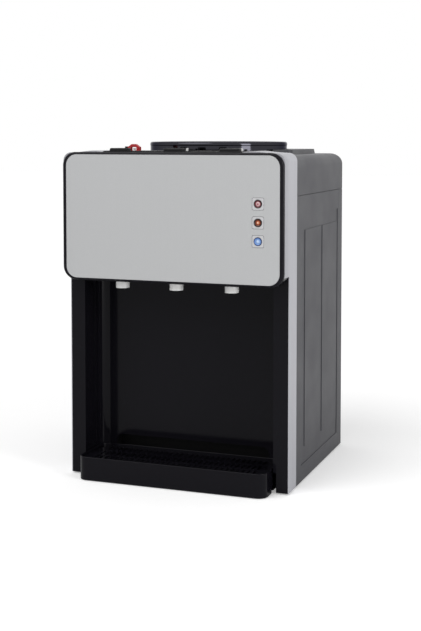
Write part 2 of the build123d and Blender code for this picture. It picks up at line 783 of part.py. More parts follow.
ear_gap = 1.0
ear_t = 2.5
with BuildPart() as tap_caps:
    for x in tap_x.values():
        rod(x, y_stem, barrel_top, cap_top, barrel_r)
        rod(x, y_stem, spigot_low, barrel_top, bore_r - 0.1)
        for sign in (-1, 1):
            near = arm_half + ear_gap
            block(
                (x + sign * near, x + sign * (near + ear_t)), (y_pivot - 4, y_stem - 3),
                (barrel_top, pivot_z + 3.7),
            )
        rod(x, y_stem, spigot_low, cap_top, stem_r + 0.4, Mode.SUBTRACT)
        cross_bar(x - 20, x + 20, y_pivot, pivot_z, pivot_r, Mode.SUBTRACT)
save(tap_caps, "tap_caps")

pin_half = arm_half + ear_gap + ear_t
with BuildPart() as key_pins:
    for x in tap_x.values():
        cross_bar(x - pin_half, x + pin_half, y_pivot, pivot_z, pivot_r)
save(key_pins, "key_pins")

with BuildPart() as tap_nuts:
    for x in tap_x.values():
        with BuildSketch(upright(y_wall + nut_t)):
            with Locations((x, shank_z)):
                RegularPolygon(shank_r + 5, 6)
                Circle(shank_r + 0.1, mode=Mode.SUBTRACT)
        extrude(amount=nut_t)
save(tap_nuts, "tap_nuts")

lift_gap = 0.8
for name, x in tap_x.items():
    with BuildPart() as tap_stem:
        rod(x, y_stem, seat_z + seam, seat_z + seam + seal_t, bore_r - 1.4)
        rod(x, y_stem, seat_z + seam, stem_top, stem_r)
        rod(x, y_stem, arm_top + lift_gap, arm_top + lift_gap + 1.2, arch_half - 0.6)
    save(tap_stem, f"tap_stem_{name}")

    wire_r = 0.45
    coil_r = 4.2
    spring_low = seat_z + seam + seal_t + 0.1 + wire_r
    spring_high = spigot_low - 0.1 - wire_r
    with BuildPart() as tap_spring:
        with BuildLine():
            coil = Helix(
                (spring_high - spring_low) / 5, spring_high - spring_low, coil_r,
                center=(x, y_stem, spring_low)
            )
        with BuildSketch(Plane(origin=coil @ 0, z_dir=coil % 0)):
            Circle(wire_r)
        sweep(is_frenet=True)
    save(tap_spring, f"tap_spring_{name}")

    with BuildPart() as tap_key:
        with BuildSketch(Plane.XY.offset(arm_top)):
            with Locations((x, y_pad)):
                side = [(pad_half, 0), (pad_half, pad_depth * 0.4), (pad_tail_half, pad_depth)]
                Polygon(*side, *[(-dx, dy) for dx, dy in reversed(side)], align=None)
            fillet(vertices(), 3.0)
        extrude(amount=pad_h)
        fillet(tap_key.edges().group_by(Axis.Z)[-1], 2.0)
        block((x - arm_half, x + arm_half), (y_pad + 4, y_arm_end), (arm_low, arm_top))
        cross_bar(x - arm_half, x + arm_half, y_pivot, pivot_z, 4.3)
        if name == "hot":
            block((x - 13, x), (y_stem - 2.5, y_arm_end), (arm_low, arm_top))
            block((x - 13, x - 10), (y_stem - 2.5, y_stem + 3.5), (arm_top, pad_top + 1.7))
        else:
            for sign in (-1, 1):
                block(
                    (x + sign * arch_half, x + sign * (arch_half + cheek_w)), (y_stem - 1.5, y_arm_end),
                    (arm_top, arm_top + cheek_h),
                )
        rod(x, y_stem, arm_low, arm_top, stem_r + 0.6, Mode.SUBTRACT)
        cross_bar(x - arm_half, x + arm_half, y_pivot, pivot_z, pivot_r + pin_play, Mode.SUBTRACT)
    save(tap_key, f"tap_key_{name}")

# Child lock: red arch that slides on the hot key
with BuildPart() as child_lock:
    x = tap_x["hot"]
    lock_low = arm_top + seam
    lock_knee = arm_top + 2.5
    lock_crown = lock_half / 3
    with BuildSketch(upright(y_stem + lock_t / 2)):
        with Locations((x, 0)):
            right = [
                (arm_half, lock_low), (arm_half, lock_knee), (lock_half, lock_knee),
                (lock_half, lock_peak - 4.0),
                (lock_half - 2.2, lock_peak - 2.6), (lock_crown, lock_peak),
            ]
            left = [(-dx, z) for dx, z in reversed(right)]
            Polygon(*right, *left, align=None)
        with Locations((x, (lock_low + stem_top + 1.2) / 2)):
            Rectangle(2 * arch_half + 0.4, stem_top + 1.2 - lock_low, mode=Mode.SUBTRACT)
    extrude(amount=lock_t)
save(child_lock, "child_lock")

# Bottle collar: chrome-black ring that carries the bottle's shoulder
ledge_w = 4.0
skirt_low = body_top - collar_skirt
with BuildPart() as bottle_collar:
    with BuildSketch(upright(y_bottle)):
        with BuildLine():
            Polyline(
                (skirt_r, skirt_low), (skirt_r, body_top), (collar_r, body_top), (collar_r, body_top + 3),
                (collar_r - 1.4, body_top + 4), (collar_r - 1.4, collar_top - 7),
                (collar_r - 0.3, collar_top - 6),
                (collar_r - 0.3, collar_top - 4),
            )
            RadiusArc((collar_r - 0.3, collar_top - 4), (collar_r - 4.3, collar_top), -4)
            Polyline(
                (collar_r - 4.3, collar_top), (collar_bore + 3, collar_top - 1),
                (collar_bore, collar_top - 5),
                (collar_bore, collar_ledge), (collar_bore - ledge_w, collar_ledge),
                (collar_bore - ledge_w, skirt_low),
                (skirt_r, skirt_low),
            )
        make_face()
    revolve(axis=bottle_axis)
save(bottle_collar, "bottle_collar")

# Funnel: lifts out of the collar, its throat guides the bottle's neck
rim_r = collar_bore - 0.4
cone_r = collar_bore - ledge_w - run_gap
with BuildPart() as bottle_funnel:
    with BuildSketch(upright(y_bottle)):
        rim_low = collar_ledge + seam
        rim_top = rim_low + funnel_rim_t
        with BuildLine():
            Polyline(
                (throat_r, throat_low), (throat_r + funnel_wall, throat_low),
                (throat_r + funnel_wall, throat_top - 1),
                (cone_r, rim_low - 2), (cone_r, rim_low), (rim_r, rim_low), (rim_r, rim_top),
                (cone_r - funnel_wall, rim_top), (cone_r - 2 * funnel_wall, rim_low - 1),
                (throat_r, throat_top),
                (throat_r, throat_low),
            )
        make_face()
    revolve(axis=bottle_axis)
save(bottle_funnel, "bottle_funnel")

# Cold tank under the funnel, with its neck, gasket, feed tube, foam jacket and shelf
ports = {"feed": (-35.0, y_bottle + 8), "ambient": (0.0, y_bottle - 29), "cold": (35.0, y_bottle + 8)}
with BuildPart() as cold_tank:
    rod(0, y_bottle, tank_low, tank_high, tank_r)
    rod(0, y_bottle, tank_high, neck_top, neck_r + 2)
    for px, py in ports.values():
        rod(px, py, port_low, tank_low, hose_r)
        rod(px, py, port_low - barb_len, port_low, barb_r)
    rod(0, y_bottle, tank_low + tank_wall, tank_high - tank_wall, tank_r - tank_wall, Mode.SUBTRACT)
    rod(0, y_bottle, tank_high - 2 * tank_wall, neck_top, neck_r, Mode.SUBTRACT)
    for px, py in ports.values():
        rod(px, py, port_low - barb_len, tank_low + 2 * tank_wall, barb_r - 1.2, Mode.SUBTRACT)
save(cold_tank, "cold_tank")

with BuildPart() as neck_gasket:
    with BuildSketch(Plane.XY.offset(throat_low - 2)):
        with Locations((0, y_bottle)):
            Circle(neck_r - 0.05)
            Circle(throat_r + funnel_wall + seam, mode=Mode.SUBTRACT)
    extrude(amount=6)
save(neck_gasket, "neck_gasket")

# Standpipe on the tank's floor: draws room temperature water from above the chilled water
with BuildPart() as feed_tube:
    px, py = ports["ambient"]
    rod(px, py, tank_low + tank_wall, tank_high - standpipe_drop, barb_r + 1)
    rod(px, py, tank_low + tank_wall, tank_low + tank_wall + 3, barb_r + 5)
    rod(px, py, tank_low + tank_wall, tank_high - standpipe_drop, barb_r - 0.4, Mode.SUBTRACT)
save(feed_tube, "feed_tube")

with BuildPart() as cold_tank_foam:
    rod(0, y_bottle, foam_low, tank_high, tank_r + foam_t)
    rod(0, y_bottle, tank_low, tank_high, tank_r + 0.2, Mode.SUBTRACT)
    for px, py in ports.values():
        rod(px, py, foam_low, tank_low, hose_r + 0.3, Mode.SUBTRACT)
    block(
        (-block_half - 4, block_half + 4), (y_bottle, y_bottle + tank_r + foam_t),
        (fan_z - block_half - 4, fan_z + block_half + 4), Mode.SUBTRACT,
    )
save(cold_tank_foam, "cold_tank_foam")

with BuildPart() as tank_shelf:
    block((-shelf_half, shelf_half), (y_shelf, y_shelf + shelf_depth), (foam_low - shelf_t, foam_low))
    for sign in (-1, 1):
        block(
            (sign * (shelf_half - shelf_t), sign * shelf_half), (y_shelf, y_shelf + shelf_depth),
            (pan_top, foam_low)
        )
        block(
            (sign * shelf_half, sign * (shelf_half + 12)), (y_shelf, y_shelf + shelf_depth),
            (pan_top, pan_top + shelf_t)
        )
    for px, py in ports.values():
        rod(px, py, foam_low - shelf_t, foam_low, hose_r + 1, Mode.SUBTRACT)
save(tank_shelf, "tank_shelf")

# Hot tank with its clamp-on heater and two thermostats
hot_out = (tap_x["hot"], y_hot - 28)
hot_in = ports["feed"]
with BuildPart() as hot_tank:
    rod(hot_x, y_hot, hot_low, hot_high, hot_r)
    for px, py in (hot_out, hot_in):
        rod(px, py, hot_high, port_top, hose_r)
        rod(px, py, port_top, port_top + barb_len, barb_r)
    bar(hot_x, drain_z, y_hot, y_face + 1.8, hose_r)
    for dx, dy in ((0, -38), (-33, 19), (33, 19)):
        rod(hot_x + dx, y_hot + dy, pan_top, hot_low + hot_wall / 2, 4.0)
    rod(hot_x, y_hot, hot_low + hot_wall, hot_high - hot_wall, hot_r - hot_wall, Mode.SUBTRACT)
    for px, py in (hot_out, hot_in):
        rod(px, py, hot_high - 2 * hot_wall, port_top + barb_len, barb_r - 1.2, Mode.SUBTRACT)
    bar(hot_x, drain_z, y_hot + hot_r - 4, y_face + 1.8, hose_r - 2, Mode.SUBTRACT)
save(hot_tank, "hot_tank")

with BuildPart() as heater_band:
    with BuildSketch(Plane.XY.offset(hot_low + band_lift)):
        with Locations((hot_x, y_hot)):
            Circle(hot_r + 0.2 + band_t)
            with Locations((0, -hot_r - 6)):
                Rectangle(10, 14)
            Circle(hot_r + 0.2, mode=Mode.SUBTRACT)
            with Locations((0, -hot_r - 6)):
                Rectangle(3, 20, mode=Mode.SUBTRACT)
    extrude(amount=band_h)
save(heater_band, "heater_band")

with BuildPart() as thermostats:
    for dz in (-40.0, -18.0):
        bar(hot_x, hot_high + dz, y_hot - hot_r - 8, y_hot - hot_r + 3, 8.0)
        block(
            (hot_x - 12, hot_x + 12), (y_hot - hot_r - 4, y_hot - hot_r - 2),
            (hot_high + dz - 3, hot_high + dz + 3)
        )
    rod(hot_x, y_hot, hot_low, hot_high, hot_r + 0.1, Mode.SUBTRACT)
save(thermostats, "thermostats")


def hose(label, route):
    """Silicone hose along straight runs joined by round bends."""
    with BuildPart() as tube:
        with BuildLine():
            if len(route) > 2:
                path = FilletPolyline(*route, radius=hose_bend)
            else:
                path = Line(*route)
        with BuildSketch(Plane(origin=path @ 0, z_dir=path % 0)):
            Circle(hose_r)
            Circle(hose_bore, mode=Mode.SUBTRACT)
        sweep()
    save(tube, label)


hose("hose_hot_feed", [(*ports["feed"], port_low), (*ports["feed"], port_top)])
hot_tap = tap_x["hot"]
hot_turn = port_top + hose_rise
hose("hose_hot_tap", [
    (*hot_out, port_top), (*hot_out, hot_turn), (hot_tap, y_hose, hot_turn), (hot_tap, y_hose, shank_z),
    (hot_tap, y_shank, shank_z),
])
for name in ("ambient", "cold"):
    x = tap_x[name]
    hose(f"hose_{name}_tap", [
        (*ports[name], port_low), (*ports[name], hose_low), (x, y_hose, hose_low), (x, y_hose, shank_z),
        (x, y_shank, shank_z),
    ])

# Thermoelectric cooling: block on the tank, module, finned sink, fan
with BuildPart() as cooling_module:
    block(
        (-block_half, block_half), (y_bottle + tank_r - 6, y_block), (fan_z - block_half, fan_z + block_half)
    )
    rod(0, y_bottle, fan_z - 50, fan_z + 50, tank_r + 0.1, Mode.SUBTRACT)
    block((-block_half, block_half), (y_block, y_sink), (fan_z - block_half + 2, fan_z + block_half - 2))
save(cooling_module, "cooling_module")

with BuildPart() as heat_sink:
    block((-sink_half, sink_half), (y_sink, y_sink + sink_base), (fan_z - sink_half, fan_z + sink_half))
    pitch = (2 * sink_half - fin_t) / (fin_count - 1)
    for i in range(fin_count):
        x = -sink_half + i * pitch
        block((x, x + fin_t), (y_sink + sink_base, y_fan), (fan_z - sink_half, fan_z + sink_half))
save(heat_sink, "heat_sink")

with BuildPart() as fan_frame:
    block((-fan_half, fan_half), (y_fan, y_plate), (fan_z - fan_half, fan_z + fan_half))
    bar(0, fan_z, y_fan, y_plate, fan_bore, Mode.SUBTRACT)
    bar(0, fan_z, y_plate - 4, y_plate, fan_hub)
    block((-fan_bore - 1, fan_bore + 1), (y_plate - 4, y_plate), (fan_z - 2, fan_z + 2))
    block((-2, 2), (y_plate - 4, y_plate), (fan_z - fan_bore - 1, fan_z + fan_bore + 1))
    bar(0, fan_z, y_plate - 4, y_plate, pivot_r + pin_play, Mode.SUBTRACT)
save(fan_frame, "fan_frame")

rotor_front = y_fan + 1.2
rotor_rear = y_plate - 4.6
with BuildPart() as fan_rotor:
    bar(0, fan_z, rotor_front, rotor_rear, fan_hub)
    bar(0, fan_z, rotor_rear, y_plate - 0.5, pivot_r)
    blade_len = fan_bore - 1.5 - fan_hub + 2
    for i in range(blade_count):
        hub = Location((0, (rotor_front + rotor_rear) / 2, fan_z), (0, i * 360 / blade_count, 0))
        blade = Location((fan_hub - 2 + blade_len / 2, 0, 0), (52, 0, 0))
        with Locations(hub * blade):
            Box(blade_len, 1.6, 9.5)
save(fan_rotor, "fan_rotor")

# Power board on its standoffs
with BuildPart() as power_board:
    top = board_z + board_t
    block((board_left, board_left + board_size), (board_front, board_front + board_size), (board_z, top))
    for left, front, width, depth, height in board_parts.values():
        x = board_left + left * board_size
        y = board_front + front * board_size
        block((x, x + width * board_size), (y, y + depth * board_size), (top, top + height))
    for share in capacitor_row:
        rod(
            board_left + share * board_size, board_front + capacitor_back * board_size, top,
            top + capacitor_h,
            capacitor_r,
        )
save(power_board, "power_board")

# Rear switches, power inlet and drain
axle_r = 1.0
axle_y = y_face - 1.0
body_in = 5.2
with BuildPart() as switch_frames:
    for x in switch_x:
        block(
            (x - switch_w / 2, x + switch_w / 2), (y_face, y_face + 1.6),
            (switch_z - switch_h / 2, switch_z + switch_h / 2)
        )
        block(
            (x - switch_w / 2 + 1.1, x + switch_w / 2 - 1.1), (y_face - 16, y_face),
            (switch_z - switch_h / 2 + 1.1, switch_z + switch_h / 2 - 1.1),
        )
        block(
            (x - body_in, x + body_in), (y_face - 11, y_face + 1.6), (switch_z - 8.3, switch_z + 8.3),
            Mode.SUBTRACT
        )
        cross_bar(x - body_in - 1, x + body_in + 1, axle_y, switch_z, axle_r + pin_play, Mode.SUBTRACT)
        for dz in (-5, 5):
            block((x - 3, x + 3), (y_face - 24, y_face - 16), (switch_z + dz - 0.4, switch_z + dz + 0.4))
save(switch_frames, "switch_frames")

for label, x in zip(("rocker_heating", "rocker_cooling"), switch_x):
    with BuildPart() as rocker:
        lean = radians(rocker_swing / 2)
        tilt = Plane(
            origin=(x - body_in + 0.4, axle_y, switch_z), x_dir=(0, cos(lean), -sin(lean)), z_dir=(1, 0, 0)
        )
        with BuildSketch(tilt):
            Polygon(
                (3.4, -7.6), (4.6, -7.6), (3.2, 0), (4.6, 7.6), (3.4, 7.6), (-4.5, 2.6), (-4.5, -2.6),
                align=None
            )
        extrude(amount=2 * body_in - 0.8)
        cross_bar(x - body_in - 0.8, x + body_in + 0.8, axle_y, switch_z, axle_r)
    save(rocker, label)

with BuildPart() as power_inlet:
    bar(inlet_x, inlet_z, y_plate - 9, y_face, 5.8)
    bar(inlet_x, inlet_z, y_face, y_face + 2.4, 10.0)
    with BuildSketch(upright(y_plate)):
        with Locations((inlet_x, inlet_z)):
            RegularPolygon(9.5, 6)
    extrude(amount=4)
    with BuildSketch(upright(y_face + 2.4)):
        with Locations((inlet_x, inlet_z)):
            Circle(7.0)
    extrude(amount=-3.2, taper=10)
    bar(inlet_x, inlet_z, y_plate - 10, y_back, 3.4, Mode.SUBTRACT)
save(power_inlet, "power_inlet")

with BuildPart() as drain_cap:
    bar(hot_x, drain_z, y_face + seam, y_back - 0.4, cap_r)
    for i in range(12):
        turn = Location((hot_x, (y_face + y_back) / 2, drain_z), (0, i * 30, 0))
        grip = turn * Location((cap_r + 0.4, 0, 0))
        with Locations(grip):
            Box(2.0, rear_recess + 2, 2.0, mode=Mode.SUBTRACT)
    bar(hot_x, drain_z, y_face, y_face + 2.2, hose_r + 0.35, Mode.SUBTRACT)
save(drain_cap, "drain_cap")


def tray_outline(inset, rear_r):
    """Tray's plan: large front corners, small rear corners that follow the bay."""
    half = tray_half - inset
    front = y_tray + inset
    rear = y_bay - tray_rear_gap - inset
    big = tray_r - inset
    small = max(rear_r - inset, wall)
    with BuildLine() as outline:
        Line((big - half, front), (half - big, front))
        RadiusArc((half - big, front), (half, front + big), -big)
        Line((half, front + big), (half, rear - small))
        RadiusArc((half, rear - small), (half - small, rear), -small)
        Line((half - small, rear), (small - half, rear))
        RadiusArc((small - half, rear), (-half, rear - small), -small)
        Line((-half, rear - small), (-half, front + big))
        RadiusArc((-half, front + big), (big - half, front), -big)
    make_face(outline.edges())


# Drip tray: glossy black pan with a deeper skirt in front of the columns
rear_corner = bay_r + 1.0
with BuildPart() as drip_tray:
    with BuildSketch(Plane.XY.offset(tray_floor)):
        tray_outline(0, rear_corner)
    extrude(amount=tray_top - tray_floor)
    with BuildSketch(Plane.XY.offset(tray_low)):
        tray_outline(0, rear_corner)
    extrude(amount=tray_floor - tray_low)
    block((-half_w, half_w), (y_col - 1, y_wall), (tray_low, tray_floor), Mode.SUBTRACT)
    with BuildSketch(Plane.XY.offset(tray_low)):
        tray_outline(tray_wall, rear_corner)
    extrude(amount=tray_floor - tray_low, mode=Mode.SUBTRACT)
    with BuildSketch(Plane.XY.offset(tray_floor + tray_wall)):
        tray_outline(tray_wall + tray_ledge, rear_corner)
    extrude(amount=tray_top, mode=Mode.SUBTRACT)
    with BuildSketch(Plane.XY.offset(grille_z - seam)):
        tray_outline(tray_wall, rear_corner)
    extrude(amount=tray_top, mode=Mode.SUBTRACT)
    fillet(drip_tray.edges().group_by(Axis.Z)[-1], 0.7)
save(drip_tray, "drip_tray")

slot_span = 2 * (tray_half - tray_r) - 8
slot_count = int(slot_span / grille_pitch) + 1
grille_mid = (y_tray + y_bay) / 2
with BuildPart() as drip_grille:
    with BuildSketch(Plane.XY.offset(grille_z)):
        tray_outline(tray_wall + 0.4, rear_corner)
    extrude(amount=grille_t)
    with BuildSketch(Plane.XY.offset(grille_z)):
        with Locations((0, grille_mid)):
            with GridLocations(grille_pitch, grille_slot_len, slot_count, 3):
                SlotOverall(grille_slot_len - 4, grille_slot_w, rotation=90)
    extrude(amount=grille_t, mode=Mode.SUBTRACT)
save(drip_grille, "drip_grille")
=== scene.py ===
import json
from math import cos, pi, radians, sin

import bmesh
import bpy
from mathutils import Matrix, Vector

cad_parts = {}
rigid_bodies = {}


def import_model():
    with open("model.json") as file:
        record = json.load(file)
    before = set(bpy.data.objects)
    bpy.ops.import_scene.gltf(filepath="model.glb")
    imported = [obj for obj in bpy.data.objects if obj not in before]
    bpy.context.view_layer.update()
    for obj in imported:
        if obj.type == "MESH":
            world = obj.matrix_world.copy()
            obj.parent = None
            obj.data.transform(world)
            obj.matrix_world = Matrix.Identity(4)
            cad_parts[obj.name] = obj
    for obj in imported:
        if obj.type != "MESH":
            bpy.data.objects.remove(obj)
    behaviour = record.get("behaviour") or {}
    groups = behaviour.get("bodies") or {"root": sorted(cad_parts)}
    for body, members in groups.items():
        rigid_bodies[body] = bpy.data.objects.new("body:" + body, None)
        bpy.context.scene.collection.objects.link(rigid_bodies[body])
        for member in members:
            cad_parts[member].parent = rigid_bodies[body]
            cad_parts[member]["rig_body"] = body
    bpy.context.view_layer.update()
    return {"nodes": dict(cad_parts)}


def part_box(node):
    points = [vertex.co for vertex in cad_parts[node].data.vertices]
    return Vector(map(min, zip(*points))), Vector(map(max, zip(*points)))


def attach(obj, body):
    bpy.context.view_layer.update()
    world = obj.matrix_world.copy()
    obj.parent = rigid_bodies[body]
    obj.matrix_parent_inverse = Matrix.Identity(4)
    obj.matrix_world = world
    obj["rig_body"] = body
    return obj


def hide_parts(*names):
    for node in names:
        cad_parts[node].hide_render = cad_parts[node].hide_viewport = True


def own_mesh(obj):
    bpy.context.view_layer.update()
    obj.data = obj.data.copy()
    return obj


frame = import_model()

# Base pan: the machine's floor, moulded in black polypropylene with vents under the
# hot tank and a sump behind the drip tray. It is clipped between the two side panels.
# Four rubber feet are pressed into it.
nodes = frame["nodes"]
mm = 0.001


def srgb(code):
    """Linear colour of an sRGB hex value."""
    channels = [int(code[i:i + 2], 16) / 255 for i in (1, 3, 5)]
    return tuple(c / 12.92 if c <= 0.04045 else ((c + 0.055) / 1.055) ** 2.4 for c in channels) + (1.0,)


def add_node(owner, kind, settings, links=None):
    """Adds one shader node to a material or world, sets its options and sockets, and links what feeds it."""
    node = owner.node_tree.nodes.new("ShaderNode" + kind)
    for name, value in settings.items():
        if isinstance(name, int) or name in node.inputs:
            node.inputs[name].default_value = value
        else:
            setattr(node, name, value)
    for name, source in (links or {}).items():
        owner.node_tree.links.new(source, node.inputs[name])
    return node


def new_material(name, settings):
    """Material with one Principled shader, and the shader itself."""
    material = bpy.data.materials.new(name)
    material.use_nodes = True
    shader = material.node_tree.nodes["Principled BSDF"]
    for socket, value in settings.items():
        shader.inputs[socket].default_value = value
    return material, shader


abs_ior = 1.53
flow_length = 60 * mm


def moulded_plastic(name, colour, roughness, grain, depth, extra=None):
    """Moulded plastic: one colour, the mould's grain in its tone and bump, and a slow drift in its gloss."""
    settings = {"Base Color": srgb(colour), "Roughness": roughness, "IOR": abs_ior}
    material, shader = new_material(name, settings | (extra or {}))
    place = add_node(material, "TexCoord", {})
    # A real mould's grain is about 0.2 mm wide, too fine to show, so it is drawn several times as coarse.
    speckle = add_node(material, "TexNoise", {"Scale": 1 / (grain * mm), "Detail": 3.0, "Roughness": 0.6},
                       {"Vector": place.outputs["Object"]})
    flow = add_node(material, "TexNoise", {"Scale": 1 / flow_length, "Detail": 2.0},
                    {"Vector": place.outputs["Object"]})
    gloss = add_node(material, "MapRange", {"From Min": 0.3, "From Max": 0.7, "To Min": roughness * 0.9,
                                            "To Max": min(roughness * 1.12, 1.0)}, {"Value": flow.outputs["Fac"]})
    tint = add_node(material, "MapRange", {"From Min": 0.3, "From Max": 0.7, "To Min": 0.94, "To Max": 1.0},
                    {"Value": speckle.outputs["Fac"]})
    shade = add_node(material, "MixRGB", {"blend_type": "MULTIPLY", "Fac": 1.0, "Color1": srgb(colour)},
                     {"Color2": tint.outputs["Result"]})
    relief = add_node(material, "Bump", {"Strength": 0.5, "Distance": depth * mm}, {"Height": speckle.outputs["Fac"]})
    links = material.node_tree.links
    links.new(shade.outputs["Color"], shader.inputs["Base Color"])
    links.new(gloss.outputs["Result"], shader.inputs["Roughness"])
    links.new(relief.outputs["Normal"], shader.inputs["Normal"])
    return material


def coat(piece, material):
    """Gives a piece its material, in every slot that it has."""
    if not piece.data.materials:
        piece.data.materials.append(material)
    for i in range(len(piece.data.materials)):
        piece.data.materials[i] = material


sharp_from = radians(35)


def new_piece(name, bm, material, body, *replaced, edge=0.0, segments=2):
    """Makes a finished mesh an object on its body, with its sharp edges rounded and its flats shaded flat."""
    mesh = bpy.data.meshes.new(name)
    bm.to_mesh(mesh)
    bm.free()
    mesh.polygons.foreach_set("use_smooth", [True] * len(mesh.polygons))
    piece = bpy.data.objects.new(name, mesh)
    bpy.context.scene.collection.objects.link(piece)
    coat(piece, material)
    if edge:
        rounding = piece.modifiers.new("edges", "BEVEL")
        rounding.width = edge
        rounding.segments = segments
        rounding.limit_method = "ANGLE"
        rounding.angle_limit = sharp_from
    else:
        mesh.set_sharp_from_angle(angle=sharp_from)
    shading = piece.modifiers.new("flat_faces", "WEIGHTED_NORMAL")
    shading.keep_sharp = True
    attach(piece, body)
    if replaced:
        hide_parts(*replaced)
    return piece


flat_within = radians(0.5)
touching = 0.001 * mm


def merged_copy(node, whole_flats=True):
    """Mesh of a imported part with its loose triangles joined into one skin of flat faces, or of four-sided ones."""
    bm = bmesh.new()
    bm.from_mesh(nodes[node].data)
    bmesh.ops.remove_doubles(bm, verts=bm.verts, dist=touching)
    if whole_flats:
        bmesh.ops.dissolve_limit(bm, angle_limit=flat_within, verts=bm.verts, edges=bm.edges)
    else:
        bmesh.ops.join_triangles(bm, faces=bm.faces, angle_face_threshold=flat_within, angle_shape_threshold=pi)
    return bm


def softened(node, name, material, edge, segments=2, whole_flats=True):
    """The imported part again, with its edges rounded as its mould rounds them. The edge is in millimetres."""
    bm = merged_copy(node, whole_flats)
    return new_piece(name, bm, material, nodes[node]["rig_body"], node, edge=edge * mm, segments=segments)


# Black polypropylene: a dull black, slightly blotchy, as it comes from a coarse mould.
pan_plastic = moulded_plastic("black_polypropylene", "#0e0e0f", 0.55, 1.4, 0.10, {"Specular IOR Level": 0.14})
softened("base_pan", "base_pan_moulding", pan_plastic, 0.3)
# Moulded rubber: matt, a shade greyer than the pan, with almost no shine.
foot_rubber = moulded_plastic("moulded_rubber", "#1c1c1d", 0.8, 1.2, 0.15, {"Specular IOR Level": 0.3})
softened("feet", "rubber_feet", foot_rubber, 0.4)

# Side panels: satin grey ABS with a pressed field and two raised pads, moulded with a fine
# spark-eroded texture. Each hooks into the front frame and is screwed to the rear shell.
# Textured grey ABS: an even dark grey with the soft, wide sheen of a spark-eroded mould.
grey_abs = moulded_plastic("textured_grey_abs", "#444448", 0.46, 1.1, 0.05, {"Specular IOR Level": 0.25})
for side in ("left", "right"):
    softened(f"side_panel_{side}", f"{side}_side_panel", grey_abs, 0.8, 3)

# Rear shell: the same grey ABS, with a recessed back face, louvres over the cooling set and
# the compartment below it. Slanted blades stand in the louvres and keep fingers out.
softened("rear_shell", "rear_moulding", grey_abs, 0.4)
# The blades' section: near and far are how deep their upper and lower edges lie behind the back face.
back_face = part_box("rear_shell")[1].y - 6.0 * mm
louvre_pitch = 9.5 * mm
louvre_rows = 13
louvre_mid = 140.0 * mm
louvre_w = 60.0 * mm
louvre_bar = 12.0 * mm
fan_low, fan_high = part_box("fan_frame")
fan_mid = (fan_low.z + fan_high.z) / 2
fan_slot_r = 40.5 * mm
blade_inset = 2.4 * mm
blade_reach = 2.04 * mm
blade_top, blade_foot = 1.6 * mm, -1.5 * mm
blade_t = (0, -0.4 * mm, -0.6 * mm)
louvre_x = (louvre_w + louvre_bar) / 2
slots = [(x, louvre_mid + (row - (louvre_rows - 1) / 2) * louvre_pitch, louvre_w)
         for row in range(louvre_rows) for x in (-louvre_x, louvre_x)]
slots += [(0, fan_mid + row * louvre_pitch, 2 * (fan_slot_r ** 2 - (row * louvre_pitch) ** 2) ** 0.5)
          for row in range(-4, 5)]
near, far = back_face - blade_inset, back_face - blade_inset + blade_reach
bm = bmesh.new()
for x, z, wide in slots:
    corners = [bm.verts.new(corner) for corner in
               ((x - wide / 2, near, z + blade_top), (x + wide / 2, near, z + blade_top),
                (x + wide / 2, far, z + blade_foot), (x - wide / 2, far, z + blade_foot))]
    grown = bmesh.ops.extrude_face_region(bm, geom=[bm.faces.new(corners)])["geom"]
    bmesh.ops.translate(bm, vec=blade_t, verts=[part for part in grown if isinstance(part, bmesh.types.BMVert)])
bmesh.ops.recalc_face_normals(bm, faces=bm.faces)
new_piece("louvre_blades", bm, pan_plastic, "housing")

# Tanks on their shelf: the cold tank of deep-drawn stainless steel in a jacket of foam
# beads, and the hot tank below it with a clamped heater and two thermostats.
# Natural ABS: undyed, a milky cream, smooth.
inner_abs = moulded_plastic("natural_abs", "#cfcdc6", 0.4, 1.2, 0.04)
softened("tank_shelf", "tank_shelf_moulding", inner_abs, 0.3)
# Expanded polystyrene: matt white, with its 4 mm beads standing out.
foam_beads = moulded_plastic("expanded_polystyrene", "#e8e8e4", 0.8, 4.0, 0.3)
coat(nodes["cold_tank_foam"], foam_beads)


line_length = 40


def brushed_metal(name, colour, roughness, grain, direction):
    """Metal with fine brush lines along one direction, in its gloss and its bump."""
    material, shader = new_material(name, {"Base Color": srgb(colour), "Metallic": 1.0, "Roughness": roughness})
    place = add_node(material, "TexCoord", {})
    # Real brush lines are a tenth as wide, too fine to show.
    stretch = [1.0 / (grain * mm)] * 3
    stretch["XYZ".index(direction)] /= line_length
    lines = add_node(material, "Mapping", {"Scale": stretch}, {"Vector": place.outputs["Object"]})
    scratch = add_node(material, "TexNoise", {"Scale": 1.0, "Detail": 4.0, "Roughness": 0.7},
                       {"Vector": lines.outputs["Vector"]})
    gloss = add_node(material, "MapRange", {"From Min": 0.25, "From Max": 0.75, "To Min": roughness * 0.8,
                                            "To Max": roughness * 1.25}, {"Value": scratch.outputs["Fac"]})
    relief = add_node(material, "Bump", {"Strength": 0.25, "Distance": 0.02 * mm}, {"Height": scratch.outputs["Fac"]})
    links = material.node_tree.links
    links.new(gloss.outputs["Result"], shader.inputs["Roughness"])
    links.new(relief.outputs["Normal"], shader.inputs["Normal"])
    return material


# Drawn stainless steel: bright, with fine lines across that spread its reflections.
stainless = brushed_metal("drawn_stainless_steel", "#c3c3c2", 0.28, 0.6, "X")
for node in ("cold_tank", "hot_tank", "feed_tube"):
    coat(nodes[node], stainless)
# Extruded aluminium: paler and duller than the steel, with the die's upright lines.
aluminium = brushed_metal("extruded_aluminium", "#c9cbcd", 0.35, 0.8, "Z")
coat(nodes["heater_band"], aluminium)
coat(nodes["thermostats"], pan_plastic)

